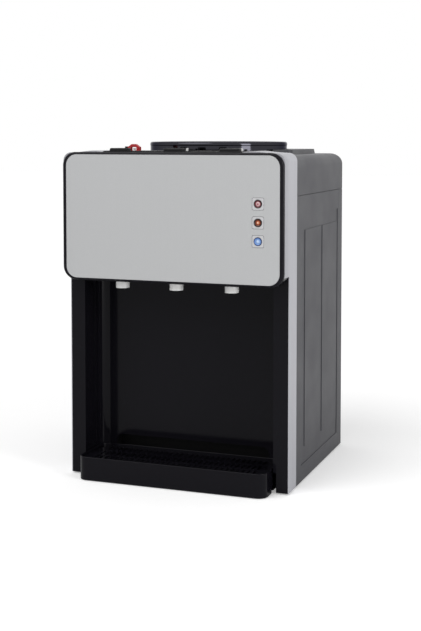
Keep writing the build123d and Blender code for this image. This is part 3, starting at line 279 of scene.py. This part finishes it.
# Hoses: translucent silicone pushed over the tanks' and taps' barbs, and the gasket of the
# same rubber in the cold tank's neck.
# Silicone rubber: milky and soft, because light goes a little way into it.
silicone = moulded_plastic("silicone_rubber", "#d5d3cb", 0.45, 2.0, 0.03, {"Subsurface Weight": 0.1})
for node in ("hose_hot_feed", "hose_hot_tap", "hose_ambient_tap", "hose_cold_tap", "neck_gasket"):
    coat(nodes[node], silicone)

# Circuit boards: glass-fibre laminate under green solder mask, on standoffs of the pan and
# behind the lamps.
# Solder mask: dark green and half glossy, uneven over the laminate's weave.
solder_mask = moulded_plastic("solder_mask_on_laminate", "#1f4a2c", 0.35, 3.0, 0.05)
for node in ("power_board", "lamp_board"):
    coat(nodes[node], solder_mask)

# Cooling set: an aluminium block and finned sink on the cold tank's side, and the black
# frame and rotor of its fan behind the round louvres of the back.
for node in ("heat_sink", "cooling_module"):
    coat(nodes[node], aluminium)
softened("fan_frame", "fan_frame_moulding", pan_plastic, 0.4)
softened("fan_rotor", "fan_rotor_moulding", pan_plastic, 0.3)

# Dispensing bay: one deep high-gloss black moulding with two columns, a back wall with
# round corners, a ceiling and a low window over the tray's rear edge.
# High-gloss black ABS: nearly black, with sharp reflections that waver over 9 mm or so.
gloss_black = moulded_plastic("gloss_black_abs", "#100f14", 0.1, 9.0, 0.015, {"Specular IOR Level": 0.1})
softened("dispensing_bay", "bay_moulding", gloss_black, 0.6, 3)

# Silver front frame: an ABS arch under metallic paint, fixed between the side panels.
# The box on its front carries the panel and the taps.
flake_size = 0.6 * mm
streak_width = 2.2 * mm
streak_length = 140 * mm


def metallic_paint(name, colour, roughness, streak, shading=None):
    """Silver paint: fine bright flakes, upright streaks from the spray, and, where asked, painted shade: a darker
    band along one edge.

    The flakes lie in a clear binder, so the paint is only partly a metal.
    """
    material, shader = new_material(name, {"Base Color": srgb(colour), "Metallic": 0.25, "Roughness": roughness,
                                           "IOR": 1.5, "Specular IOR Level": 0.35})
    place = add_node(material, "TexCoord", {})
    # Real flakes are a tenth of this size, too fine to show.
    flakes = add_node(material, "TexVoronoi", {"Scale": 1 / flake_size}, {"Vector": place.outputs["Object"]})
    upright = add_node(material, "Mapping", {"Scale": (1 / streak_width, 1 / streak_width, 1 / streak_length)},
                       {"Vector": place.outputs["Object"]})
    streaks = add_node(material, "TexNoise", {"Scale": 1.0, "Detail": 3.0}, {"Vector": upright.outputs["Vector"]})
    sparkle = add_node(material, "MapRange", {"To Min": 0.97, "To Max": 1.02}, {"Value": flakes.outputs["Color"]})
    spray = add_node(material, "MapRange", {"From Min": 0.3, "From Max": 0.7, "To Min": 1 - streak, "To Max": 1.0},
                     {"Value": streaks.outputs["Fac"]})
    tone = add_node(material, "Math", {"operation": "MULTIPLY"},
                    {0: sparkle.outputs["Result"], 1: spray.outputs["Result"]})
    # Painted shade: the colour darkens along Y towards one edge.
    if shading:
        start, end, low = shading
        along = add_node(material, "SeparateXYZ", {}, {"Vector": place.outputs["Object"]})
        band = add_node(material, "MapRange", {"From Min": start, "From Max": end, "To Min": low, "To Max": 1.0,
                                               "interpolation_type": "SMOOTHSTEP"}, {"Value": along.outputs["Y"]})
        tone = add_node(material, "Math", {"operation": "MULTIPLY"}, {0: tone.outputs[0], 1: band.outputs["Result"]})
    shade = add_node(material, "MixRGB", {"blend_type": "MULTIPLY", "Fac": 1.0, "Color1": srgb(colour)},
                     {"Color2": tone.outputs[0]})
    gloss = add_node(material, "MapRange", {"To Min": roughness * 0.85, "To Max": roughness * 1.2},
                     {"Value": streaks.outputs["Fac"]})
    links = material.node_tree.links
    links.new(shade.outputs["Color"], shader.inputs["Base Color"])
    links.new(gloss.outputs["Result"], shader.inputs["Roughness"])
    return material


frame_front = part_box("front_frame")[0].y
# The paint on the frame: a cool pale grey with a fine sparkle, and painted shade along its front edge, where the rim
# shades it.
silver_paint = metallic_paint("silver_paint_on_abs", "#b6b6bc", 0.36, 0.10,
                              (frame_front + 1 * mm, frame_front + 22 * mm, 0.84))
softened("front_frame", "silver_front_frame", silver_paint, 0.5)

# Taps: white ABS bodies with a long spout each, which flares a little towards its rounded
# mouth. Nuts hold them behind the wall, and a steel spring in each cap closes the valve.
# White ABS: clean and smooth, with a soft gloss.
white_abs = moulded_plastic("white_abs", "#ebebea", 0.32, 1.2, 0.03)
spout_r = 8.5 * mm
mouth_flare = 0.7 * mm
mouth_lift = 1.1 * mm
mouth_zone = 0.5 * mm
wire_r = 0.45 * mm
coil_turns = 5
coil_steps = 28
taps = ("hot", "ambient", "cold")
for tap in taps:
    low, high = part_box(f"tap_body_{tap}")
    spout = Vector(((low.x + high.x) / 2, low.y + spout_r, low.z))
    bm = merged_copy(f"tap_body_{tap}")
    for vert in bm.verts:
        out = vert.co - spout
        if out.z < mouth_zone:
            out.z = mouth_lift
            if out.xy.length > spout_r - mouth_zone:
                out.xy *= 1 + mouth_flare / spout_r
            vert.co = spout + out
    new_piece(f"tap_and_spout_{tap}", bm, white_abs, "housing", f"tap_body_{tap}", edge=0.8 * mm, segments=3)
    coat(nodes[f"tap_stem_{tap}"], white_abs)
    low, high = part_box(f"tap_spring_{tap}")
    middle = (low + high) / 2
    coil_r = (high.x - low.x) / 2 - wire_r
    bm = bmesh.new()
    wire = bmesh.ops.create_circle(bm, cap_ends=True, segments=12, radius=wire_r)["verts"]
    bmesh.ops.rotate(bm, verts=wire, matrix=Matrix.Rotation(pi / 2, 3, "X"))
    bmesh.ops.translate(bm, verts=wire, vec=(middle.x + coil_r, middle.y, low.z + wire_r))
    climb = (high.z - low.z - 2 * wire_r) / (coil_turns * coil_steps)
    wound = bmesh.ops.spin(bm, geom=list(bm.edges), cent=middle, axis=(0, 0, 1), dvec=(0, 0, climb),
                           angle=2 * pi * coil_turns, steps=coil_turns * coil_steps)["geom_last"]
    bmesh.ops.holes_fill(bm, edges=[part for part in wound if isinstance(part, bmesh.types.BMEdge)], sides=0)
    bmesh.ops.recalc_face_normals(bm, faces=bm.faces)
    spring = new_piece(f"valve_spring_{tap}", bm, stainless, "housing", f"tap_spring_{tap}")
    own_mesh(spring)
softened("tap_caps", "tap_cap_mouldings", white_abs, 0.4)
softened("tap_nuts", "tap_nut_mouldings", white_abs, 0.4)

# Front panel's rim: glossy black ABS with a rounded outer edge and a shallow pocket for the
# silver sheet. It is pushed into the box of the front frame.


def rounded_face(bm, centre, across, up, half_a, half_b, radius, steps=8):
    """Flat face with round corners, square to two directions."""
    centre, across, up = Vector(centre), Vector(across), Vector(up)
    known = set(bm.faces)
    corners = [bm.verts.new(centre + across * half_a * a + up * half_b * b)
               for a, b in ((-1, -1), (1, -1), (1, 1), (-1, 1))]
    bm.faces.new(corners)
    bmesh.ops.bevel(bm, geom=corners, offset=radius, offset_type="OFFSET", segments=steps, profile=0.5,
                    affect="VERTICES", material=-1)
    return [face for face in bm.faces if face not in known]


def raised(bm, faces, move):
    """Extrudes faces into a solid and gives back the moved ones, with all normals outwards."""
    joined = any(other not in faces for face in faces for edge in face.edges for other in edge.link_faces)
    grown = bmesh.ops.extrude_face_region(bm, geom=faces)["geom"]
    if joined:
        bmesh.ops.delete(bm, geom=faces, context="FACES_ONLY")
    bmesh.ops.translate(bm, vec=move, verts=[part for part in grown if isinstance(part, bmesh.types.BMVert)])
    bmesh.ops.recalc_face_normals(bm, faces=bm.faces)
    return [part for part in grown if isinstance(part, bmesh.types.BMFace)]


def round_over(bm, faces, radius, steps=4):
    """Lifts faces by a radius while their border draws in along a quarter circle."""
    lift, inset = 0.0, 0.0
    for i in range(1, steps + 1):
        turn = pi / 2 * i / steps
        new_lift, new_inset = radius * sin(turn), radius * (1 - cos(turn))
        bmesh.ops.inset_region(bm, faces=faces, thickness=new_inset - inset, depth=new_lift - lift,
                               use_boundary=True, use_even_offset=True)
        lift, inset = new_lift, new_inset


right, back, up = Vector((1, 0, 0)), Vector((0, 1, 0)), Vector((0, 0, 1))
rim_low, rim_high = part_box("panel_bezel")
sheet_low, sheet_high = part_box("panel_face")
rim_mid = (rim_low + rim_high) / 2
rim_depth = 3.7 * mm
rim_corner = 18.0 * mm
rim_edge = 2.4 * mm
rim_flat = 0.1 * mm
pocket = 1.7 * mm
# The rim's gloss black ABS: its reflections are a touch softer than the bay's.
panel_black = moulded_plastic("gloss_black_rim_abs", "#131218", 0.14, 9.0, 0.015, {"Specular IOR Level": 0.12})
bm = bmesh.new()
front = rounded_face(bm, (0, rim_low.y + rim_depth, rim_mid.z), right, up,
                     rim_high.x, (rim_high.z - rim_low.z) / 2, rim_corner, 14)
front = raised(bm, front, (0, rim_edge - rim_depth, 0))
round_over(bm, front, rim_edge, 6)
bmesh.ops.inset_region(bm, faces=front, thickness=rim_flat, use_boundary=True, use_even_offset=True)
# The rim's flat is wider at the sides and the top than below, so the pocket's border moves in there.
side_flat = rim_high.x - rim_edge - sheet_high.x - 2 * rim_flat
top_flat = rim_high.z - rim_edge - sheet_high.z - 2 * rim_flat
for vert in {v for face in front for v in face.verts}:
    vert.co.x -= side_flat if vert.co.x > 0 else -side_flat
    if vert.co.z > rim_mid.z:
        vert.co.z -= top_flat
raised(bm, front, (0, pocket, 0))
new_piece("panel_rim", bm, panel_black, "housing", "panel_bezel")

# Silver sheet: thin aluminium-look ABS, painted like the frame and glued into the rim, with
# three square holes for the lamps.
lamp_low, lamp_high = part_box("lamp_frames")
lamp_side = lamp_high.x - lamp_low.x
lamp_x = (lamp_low.x + lamp_high.x) / 2
lamp_pitch = (lamp_high.z - lamp_low.z - lamp_side) / 2
lamp_mid = (lamp_low.z + lamp_high.z) / 2
lamps = {"power": lamp_mid + lamp_pitch, "heating": lamp_mid, "cooling": lamp_mid - lamp_pitch}
sheet_edge = 0.3 * mm
sheet_corner = 14.9 * mm
lamp_room = 0.35 * mm
hole_corner = 2.0 * mm


def filled(bm, outline, holes):
    """Flat face with holes in it: the outline and the holes come as faces and go as edges."""
    bmesh.ops.delete(bm, geom=outline + holes, context="FACES_ONLY")
    fill = bmesh.ops.triangle_fill(bm, use_beauty=True, edges=bm.edges)["geom"]
    return [part for part in fill if isinstance(part, bmesh.types.BMFace)]


# The paint on the sheet: the same grey, more even, with hardly a streak.
sheet_paint = metallic_paint("silver_paint_on_panel", "#b8b9ba", 0.4, 0.012)
sheet_mid = (sheet_low + sheet_high) / 2
bm = bmesh.new()
outline = rounded_face(bm, (0, sheet_high.y, sheet_mid.z), right, up,
                       sheet_high.x, (sheet_high.z - sheet_low.z) / 2, sheet_corner, 14)
holes = []
for z in lamps.values():
    holes += rounded_face(bm, (lamp_x, sheet_high.y, z), right, up,
                          lamp_side / 2 + lamp_room, lamp_side / 2 + lamp_room, hole_corner, 5)
front = raised(bm, filled(bm, outline, holes), (0, sheet_low.y - sheet_high.y + sheet_edge, 0))
round_over(bm, front, sheet_edge, 2)
new_piece("silver_panel_sheet", bm, sheet_paint, "housing", "panel_face")

# Lamps: a pale square plate, a dark turned ring and a domed lens each, pushed into the rim
# from the front. The lenses are tinted polycarbonate over small lamps.
# The plates' polycarbonate: pale grey and smooth, a little brighter than the sheet.
plate_grey = moulded_plastic("lamp_plate_polycarbonate", "#c2c2c4", 0.25, 1.2, 0.01)
plate_edge = 0.4 * mm
plate_corner = 1.8 * mm
ring_room = 0.1 * mm
ring_low, ring_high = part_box("lamp_rings")
ring_r = (ring_high.x - ring_low.x) / 2
ring_deep = 5 * mm
lens_low, lens_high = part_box("lamp_lens_power")
lens_r = (lens_high.x - lens_low.x) / 2
lens_deep = 8 * mm
seat_r = lens_r + 0.05 * mm


def turned(bm, centre, out, axis, profile, steps=48):
    """Turned form: a profile of (radius, height) pairs spun once around an axis."""
    centre = Vector(centre)
    points = [bm.verts.new(centre + out * radius + axis * height) for radius, height in profile]
    edges = [bm.edges.new(pair) for pair in zip(points, points[1:])]
    bmesh.ops.spin(bm, geom=points + edges, cent=centre, axis=axis, dvec=(0, 0, 0), angle=2 * pi, steps=steps,
                   use_merge=True)
    bmesh.ops.remove_doubles(bm, verts=bm.verts, dist=touching)
    bmesh.ops.recalc_face_normals(bm, faces=bm.faces)


bm = bmesh.new()
for z in lamps.values():
    plate = bmesh.new()
    outline = rounded_face(plate, (lamp_x, lamp_high.y, z), right, up, lamp_side / 2, lamp_side / 2, plate_corner, 5)
    circle = bmesh.ops.create_circle(plate, segments=40, radius=ring_r + ring_room)["verts"]
    bmesh.ops.rotate(plate, verts=circle, matrix=Matrix.Rotation(pi / 2, 3, "X"))
    bmesh.ops.translate(plate, verts=circle, vec=(lamp_x, lamp_high.y, z))
    front = raised(plate, filled(plate, outline, []), (0, lamp_low.y - lamp_high.y + plate_edge, 0))
    round_over(plate, front, plate_edge, 3)
    part = bpy.data.meshes.new("plate")
    plate.to_mesh(part)
    plate.free()
    bm.from_mesh(part)
    bpy.data.meshes.remove(part)
new_piece("lamp_plates", bm, plate_grey, "housing", "lamp_frames")


def glowing(name, height, stops):
    """Tinted polycarbonate with the glow of the lamp behind it painted into its colour: colours from a lamp's centre
    outwards, in shares of its ring.
    """
    lens, shader = new_material(name, {"Roughness": 0.18, "IOR": 1.585, "Specular IOR Level": 0.3})
    place = add_node(lens, "TexCoord", {})
    centred = add_node(lens, "Mapping", {"Location": (-lamp_x / ring_r, -ring_low.y / ring_r, -height / ring_r),
                                         "Scale": [1 / ring_r] * 3}, {"Vector": place.outputs["Object"]})
    flat = add_node(lens, "VectorMath", {"operation": "MULTIPLY", 1: (1, 0, 1)}, {0: centred.outputs["Vector"]})
    reach = add_node(lens, "VectorMath", {"operation": "LENGTH"}, {0: flat.outputs["Vector"]})
    tint = add_node(lens, "ValToRGB", {}, {"Fac": reach.outputs["Value"]})
    ends = tint.color_ramp.elements
    ends[0].position, ends[0].color = stops[0][0], srgb(stops[0][1])
    ends[1].position, ends[1].color = stops[-1][0], srgb(stops[-1][1])
    for position, colour in stops[1:-1]:
        ends.new(position).color = srgb(colour)
    lens.node_tree.links.new(tint.outputs["Color"], shader.inputs["Base Color"])
    return lens


# Painted glow: each lens is painted brightest in the middle and fades into a ring that is all but black.
lamp_glows = {
    "power": ((0.12, "#8a2530"), (0.24, "#cfa6aa"), (0.45, "#d8bcbe"), (0.6, "#7d2a34"), (0.8, "#3a161b"),
              (0.9, "#1d0f12")),
    "heating": ((0.1, "#f0d2bd"), (0.22, "#c87b55"), (0.45, "#a9502d"), (0.6, "#5e2716"), (0.8, "#33170f"),
                (0.9, "#1c100c")),
    "cooling": ((0.15, "#bccfec"), (0.4, "#9ab8e2"), (0.6, "#7fa3d6"), (0.76, "#587fbe"), (0.88, "#26407c"),
                (0.96, "#16223f")),
}
for lamp, stops in lamp_glows.items():
    centre = (lamp_x, ring_low.y, lamps[lamp])
    glow = glowing(f"{lamp}_tinted_polycarbonate", lamps[lamp], stops)
    bm = bmesh.new()
    turned(bm, centre, right, back, [
        (seat_r, ring_deep), (seat_r, 1.2 * mm), (ring_r - 0.9 * mm, 0.35 * mm), (ring_r - 0.6 * mm, 0),
        (ring_r - 0.2 * mm, 0.1 * mm), (ring_r, 0.5 * mm), (ring_r, ring_deep), (seat_r, ring_deep)])
    new_piece(f"{lamp}_lamp_ring", bm, glow, "housing", "lamp_rings")
    bm = bmesh.new()
    turned(bm, centre, right, back, [
        (0, 0.3 * mm), (0.3 * lens_r, 0.35 * mm), (0.6 * lens_r, 0.55 * mm), (0.85 * lens_r, 0.95 * mm),
        (lens_r, 1.5 * mm), (lens_r, lens_deep), (0, lens_deep)], 32)
    new_piece(f"{lamp}_lamp_lens", bm, glow, "housing", f"lamp_lens_{lamp}")

# Top cover: the same textured grey ABS as the sides, with rounded edges and a raised
# shoulder beside the collar. It is screwed on from the back.
softened("top_cover", "top_cover_moulding", grey_abs, 0.5)

# Key deck: the black ABS surround of the three press keys, clipped into cover and frame.
# Its slots let the keys' arms and the valve stems through.
# Deck-black ABS: satin, so that it shows the slots' edges and no reflections.
deck_black = moulded_plastic("deck_black_abs", "#101013", 0.5, 1.2, 0.02, {"Specular IOR Level": 0.12})
softened("key_deck", "key_deck_moulding", deck_black, 0.5, whole_flats=False)

# Press keys: black ABS levers, each on a steel pin through the ears of its tap's cap. The
# red child lock slides on the hot key's arm.
# Satin black ABS: soft highlights along the edges of the pads.
key_black = moulded_plastic("satin_black_abs", "#121214", 0.5, 1.2, 0.03, {"Specular IOR Level": 0.16})
for tap in taps:
    softened(f"tap_key_{tap}", f"press_key_{tap}", key_black, 0.4)
coat(nodes["key_pins"], stainless)
# Red ABS: a deep signal red with a clear gloss.
lock_red = moulded_plastic("red_abs", "#b3141c", 0.3, 1.2, 0.02)
softened("child_lock", "child_lock_arch", lock_red, 0.6, 3)

# Bottle collar: an ABS ring plated in black chrome, with a rolled rim above its flange. The
# funnel inside it lifts out and guides the bottle's neck.
# Black chrome on ABS: it mirrors the studio in dark grey, darker still where it is seen edge on.
collar_black = moulded_plastic("black_chrome_on_abs", "#37373c", 0.07, 12.0, 0.01,
                               {"Metallic": 1.0, "IOR": 1.5, "Specular Tint": srgb("#b4b4b8")})
collar_low, collar_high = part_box("bottle_collar")
collar_r = collar_high.x
collar_centre = ((collar_low.x + collar_high.x) / 2, (collar_low.y + collar_high.y) / 2, collar_high.z)
collar_foot = collar_low.z - collar_high.z
flange = -17.5 * mm
bore_r = collar_r - 11.5 * mm
skirt_r = collar_r - 8.1 * mm
ledge_r = bore_r - 4.0 * mm
ledge = -14.0 * mm
bm = bmesh.new()
turned(bm, collar_centre, right, up, [
    (skirt_r, collar_foot), (skirt_r, flange), (collar_r - 0.4 * mm, flange), (collar_r, flange + 0.5 * mm),
    (collar_r, flange + 1.6 * mm), (collar_r - 0.3 * mm, flange + 2.2 * mm), (collar_r - 0.7 * mm, flange + 2.6 * mm),
    (collar_r - 0.7 * mm, -5.6 * mm), (collar_r - 0.4 * mm, -5.2 * mm), (collar_r - 0.3 * mm, -4.6 * mm),
    (collar_r - 0.3 * mm, -3.2 * mm), (collar_r - 0.6 * mm, -1.9 * mm), (collar_r - 1.4 * mm, -0.8 * mm),
    (collar_r - 2.5 * mm, -0.2 * mm), (collar_r - 4.3 * mm, 0), (bore_r + 3.6 * mm, -0.6 * mm),
    (bore_r + 1.6 * mm, -1.8 * mm), (bore_r + 0.4 * mm, -3.6 * mm), (bore_r, -5.6 * mm),
    (bore_r, ledge + 0.4 * mm), (bore_r - 0.4 * mm, ledge), (ledge_r, ledge), (ledge_r, collar_foot),
    (skirt_r, collar_foot)], 144)
new_piece("bottle_collar_ring", bm, collar_black, "housing", "bottle_collar")
softened("bottle_funnel", "funnel_moulding", pan_plastic, 0.5)

# Rear fittings: two rocker switches in frames, a cord gland, the drain's screw cap and the
# steel screws of the shell.
softened("switch_frames", "switch_frame_mouldings", pan_plastic, 0.25)
switches = ("heating", "cooling")
for switch in switches:
    softened(f"rocker_{switch}", f"{switch}_rocker", gloss_black, 0.3)
softened("power_inlet", "cord_gland", pan_plastic, 0.4)
softened("drain_cap", "drain_screw_cap", pan_plastic, 0.4)
# White marking paint: a thin matt print of the on and off signs.
mark_white = moulded_plastic("white_marking_paint", "#d8d8d6", 0.5, 1.2, 0.01)
mark_h = 0.15 * mm
bar_w, bar_h, bar_corner = 0.4 * mm, 1.6 * mm, 0.35 * mm
circle_in, circle_out = 1.0 * mm, 1.6 * mm
rocker_lean = radians(8)
rocker_half, rocker_rise = 7.6, 1.4
axle_deep, axle_up = 5.61 * mm, 0.56 * mm
mark_place = 3.9 * mm
for switch in switches:
    low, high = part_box(f"rocker_{switch}")
    out = Vector((0, cos(rocker_lean), -sin(rocker_lean)))
    along = Vector((0, sin(rocker_lean), cos(rocker_lean)))
    axle = Vector(((low.x + high.x) / 2, high.y - axle_deep, (low.z + high.z) / 2 + axle_up))
    bm = bmesh.new()
    for half in (1, -1):
        face_out = (out * rocker_half - along * rocker_rise * half).normalized()
        face_up = (along * rocker_half * half + out * rocker_rise).normalized()
        centre = axle + out * mark_place + along * mark_place * half
        if half == 1:
            raised(bm, rounded_face(bm, centre, right, face_up, bar_w, bar_h, bar_corner, 3), face_out * mark_h)
        else:
            turned(bm, centre, right, face_out, [
                (circle_in, -mark_h), (circle_in, mark_h), (circle_out, mark_h), (circle_out, -mark_h),
                (circle_in, -mark_h)], 24)
    new_piece(f"{switch}_switch_marks", bm, mark_white, f"switch_{switch}")
screw_low, screw_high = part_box("body_screws")
head_r = 3.5 * mm
head_h = 2.2 * mm
screw_x = screw_high.x - head_r
side_screw_z = 330.0 * mm
cover_screw_x = 100.0 * mm
cross_w = 0.34 * head_r
# From the cross outwards over the domed head and along the shank: how far each ring of the head
# widens, and how far it drops, in head heights.
head_rings = ((1.6, 0.3), (1.136, 0.35), (1.0, 0.35), (0.4, 0.0), (1.0, 4.0))
screws = [(x, z) for x in (-screw_x, screw_x) for z in (screw_low.z + head_r, side_screw_z)]
screws += [(x, screw_high.z - head_r) for x in (-cover_screw_x, cover_screw_x)]
bm = bmesh.new()
for x, z in screws:
    head = bmesh.new()
    rim = bmesh.ops.create_circle(head, segments=24, radius=0.55 * head_r)["verts"]
    bmesh.ops.create_grid(head, x_segments=3, y_segments=3, size=cross_w)
    corners = [face for face in head.faces if min(abs(c) for c in face.calc_center_median().xy) > 0.1 * head_r]
    bmesh.ops.delete(head, geom=corners, context="FACES")
    cross = list(head.faces)
    border = [edge for edge in head.edges if len(edge.link_faces) < 2]
    bmesh.ops.triangle_fill(head, use_beauty=True, edges=border)
    raised(head, cross, (0, 0, -0.5 * head_h))
    ring = [edge for edge in head.edges if all(vert in rim for vert in edge.verts)]
    for scale, drop in head_rings:
        grown = bmesh.ops.extrude_edge_only(head, edges=ring)["geom"]
        ring = [part for part in grown if isinstance(part, bmesh.types.BMEdge)]
        verts = [part for part in grown if isinstance(part, bmesh.types.BMVert)]
        bmesh.ops.scale(head, vec=(scale, scale, 1), verts=verts)
        bmesh.ops.translate(head, vec=(0, 0, -drop * head_h), verts=verts)
    bmesh.ops.holes_fill(head, edges=ring, sides=0)
    bmesh.ops.rotate(head, verts=head.verts, matrix=Matrix.Rotation(-pi / 2, 3, "X"))
    bmesh.ops.translate(head, verts=head.verts, vec=(x, screw_high.y, z))
    bmesh.ops.recalc_face_normals(head, faces=head.faces)
    part = bpy.data.meshes.new("screw")
    head.to_mesh(part)
    head.free()
    bm.from_mesh(part)
    bpy.data.meshes.remove(part)
new_piece("cross_head_screws", bm, stainless, "housing", "body_screws")

# Drip tray: high-gloss black pan with a deeper front skirt, slid in between the columns.
# Its slotted grille rests on a ledge below the rim.
softened("drip_tray", "drip_tray_pan", gloss_black, 0.6, 3)
softened("drip_grille", "drip_tray_grille", gloss_black, 0.25)

# Studio: pale floor and sky, a wide soft light from the front left, and the photograph's
# viewpoint. The camera stands low, a little to the right of the front, and looks almost level.
floor_half = 12.0
bm = bmesh.new()
bmesh.ops.create_grid(bm, x_segments=1, y_segments=1, size=floor_half)
mesh = bpy.data.meshes.new("floor")
bm.to_mesh(mesh)
bm.free()
floor = bpy.data.objects.new("floor", mesh)
bpy.context.scene.collection.objects.link(floor)
# Pale floor: nearly white to the camera, and matt, so that it keeps the machine's soft shadow.
pale, shader = new_material("pale_floor", {"Base Color": srgb("#f4f4f4"), "Roughness": 0.9,
                                           "Specular IOR Level": 0.1, "Emission Color": (1, 1, 1, 1)})
path = add_node(pale, "LightPath", {})
lift = add_node(pale, "Math", {"operation": "MULTIPLY", 1: 0.3}, {0: path.outputs["Is Camera Ray"]})
pale.node_tree.links.new(lift.outputs[0], shader.inputs["Emission Strength"])
coat(floor, pale)

# The studio round it is white to the camera and in reflections, and half as bright as a light.
world = bpy.data.worlds.new("studio")
bpy.context.scene.world = world
world.use_nodes = True
sky = world.node_tree.nodes["Background"]
path = add_node(world, "LightPath", {})
seen = add_node(world, "Math", {"operation": "ADD", "use_clamp": True},
                {0: path.outputs["Is Camera Ray"], 1: path.outputs["Is Glossy Ray"]})
seen = add_node(world, "Math", {"operation": "ADD", "use_clamp": True},
                {0: seen.outputs[0], 1: path.outputs["Is Transmission Ray"]})
level = add_node(world, "MapRange", {"To Min": 0.5, "To Max": 1.0}, {"Value": seen.outputs[0]})
world.node_tree.links.new(level.outputs["Result"], sky.inputs["Strength"])
sky.inputs["Color"].default_value = (1, 1, 1, 1)


def sun(name, direction, strength, spread):
    """Wide soft light from one direction, at the same level all over."""
    data = bpy.data.lights.new(name, "SUN")
    data.energy = strength
    data.angle = radians(spread)
    lamp = bpy.data.objects.new(name, data)
    lamp.rotation_euler = Vector(direction).to_track_quat("Z", "Y").to_euler()
    bpy.context.scene.collection.objects.link(lamp)


sun("key_light", (-0.6, -1.0, 1.2), 1.3, 50)
# The softbox at the right draws the bright line along the collar's rim.
softbox_place, softbox_aim = Vector((2.2, -1.0, 0.85)), Vector((0, 0, 0.25))
softbox = bpy.data.lights.new("softbox", "AREA")
softbox.shape = "RECTANGLE"
softbox.size = 0.7
softbox.size_y = 1.5
softbox.energy = 22.0
side_light = bpy.data.objects.new("softbox", softbox)
side_light.location = softbox_place
side_light.rotation_euler = (softbox_place - softbox_aim).to_track_quat("Z", "Y").to_euler()
side_light.visible_camera = False
bpy.context.scene.collection.objects.link(side_light)

camera_place = (0.5863, -1.5903, 0.4637)
camera_turn = 20.153
camera_pitch = 3.166
camera = bpy.data.cameras.new("camera")
camera.sensor_width = 36.0
camera.lens = 68.57
camera.shift_y = -0.18
camera.clip_start = 0.05
viewpoint = bpy.data.objects.new("camera", camera)
viewpoint.location = camera_place
viewpoint.rotation_euler = (radians(90 - camera_pitch), 0, radians(camera_turn))
bpy.context.scene.collection.objects.link(viewpoint)
bpy.context.scene.camera = viewpoint
bpy.context.scene.view_settings.view_transform = "Standard"
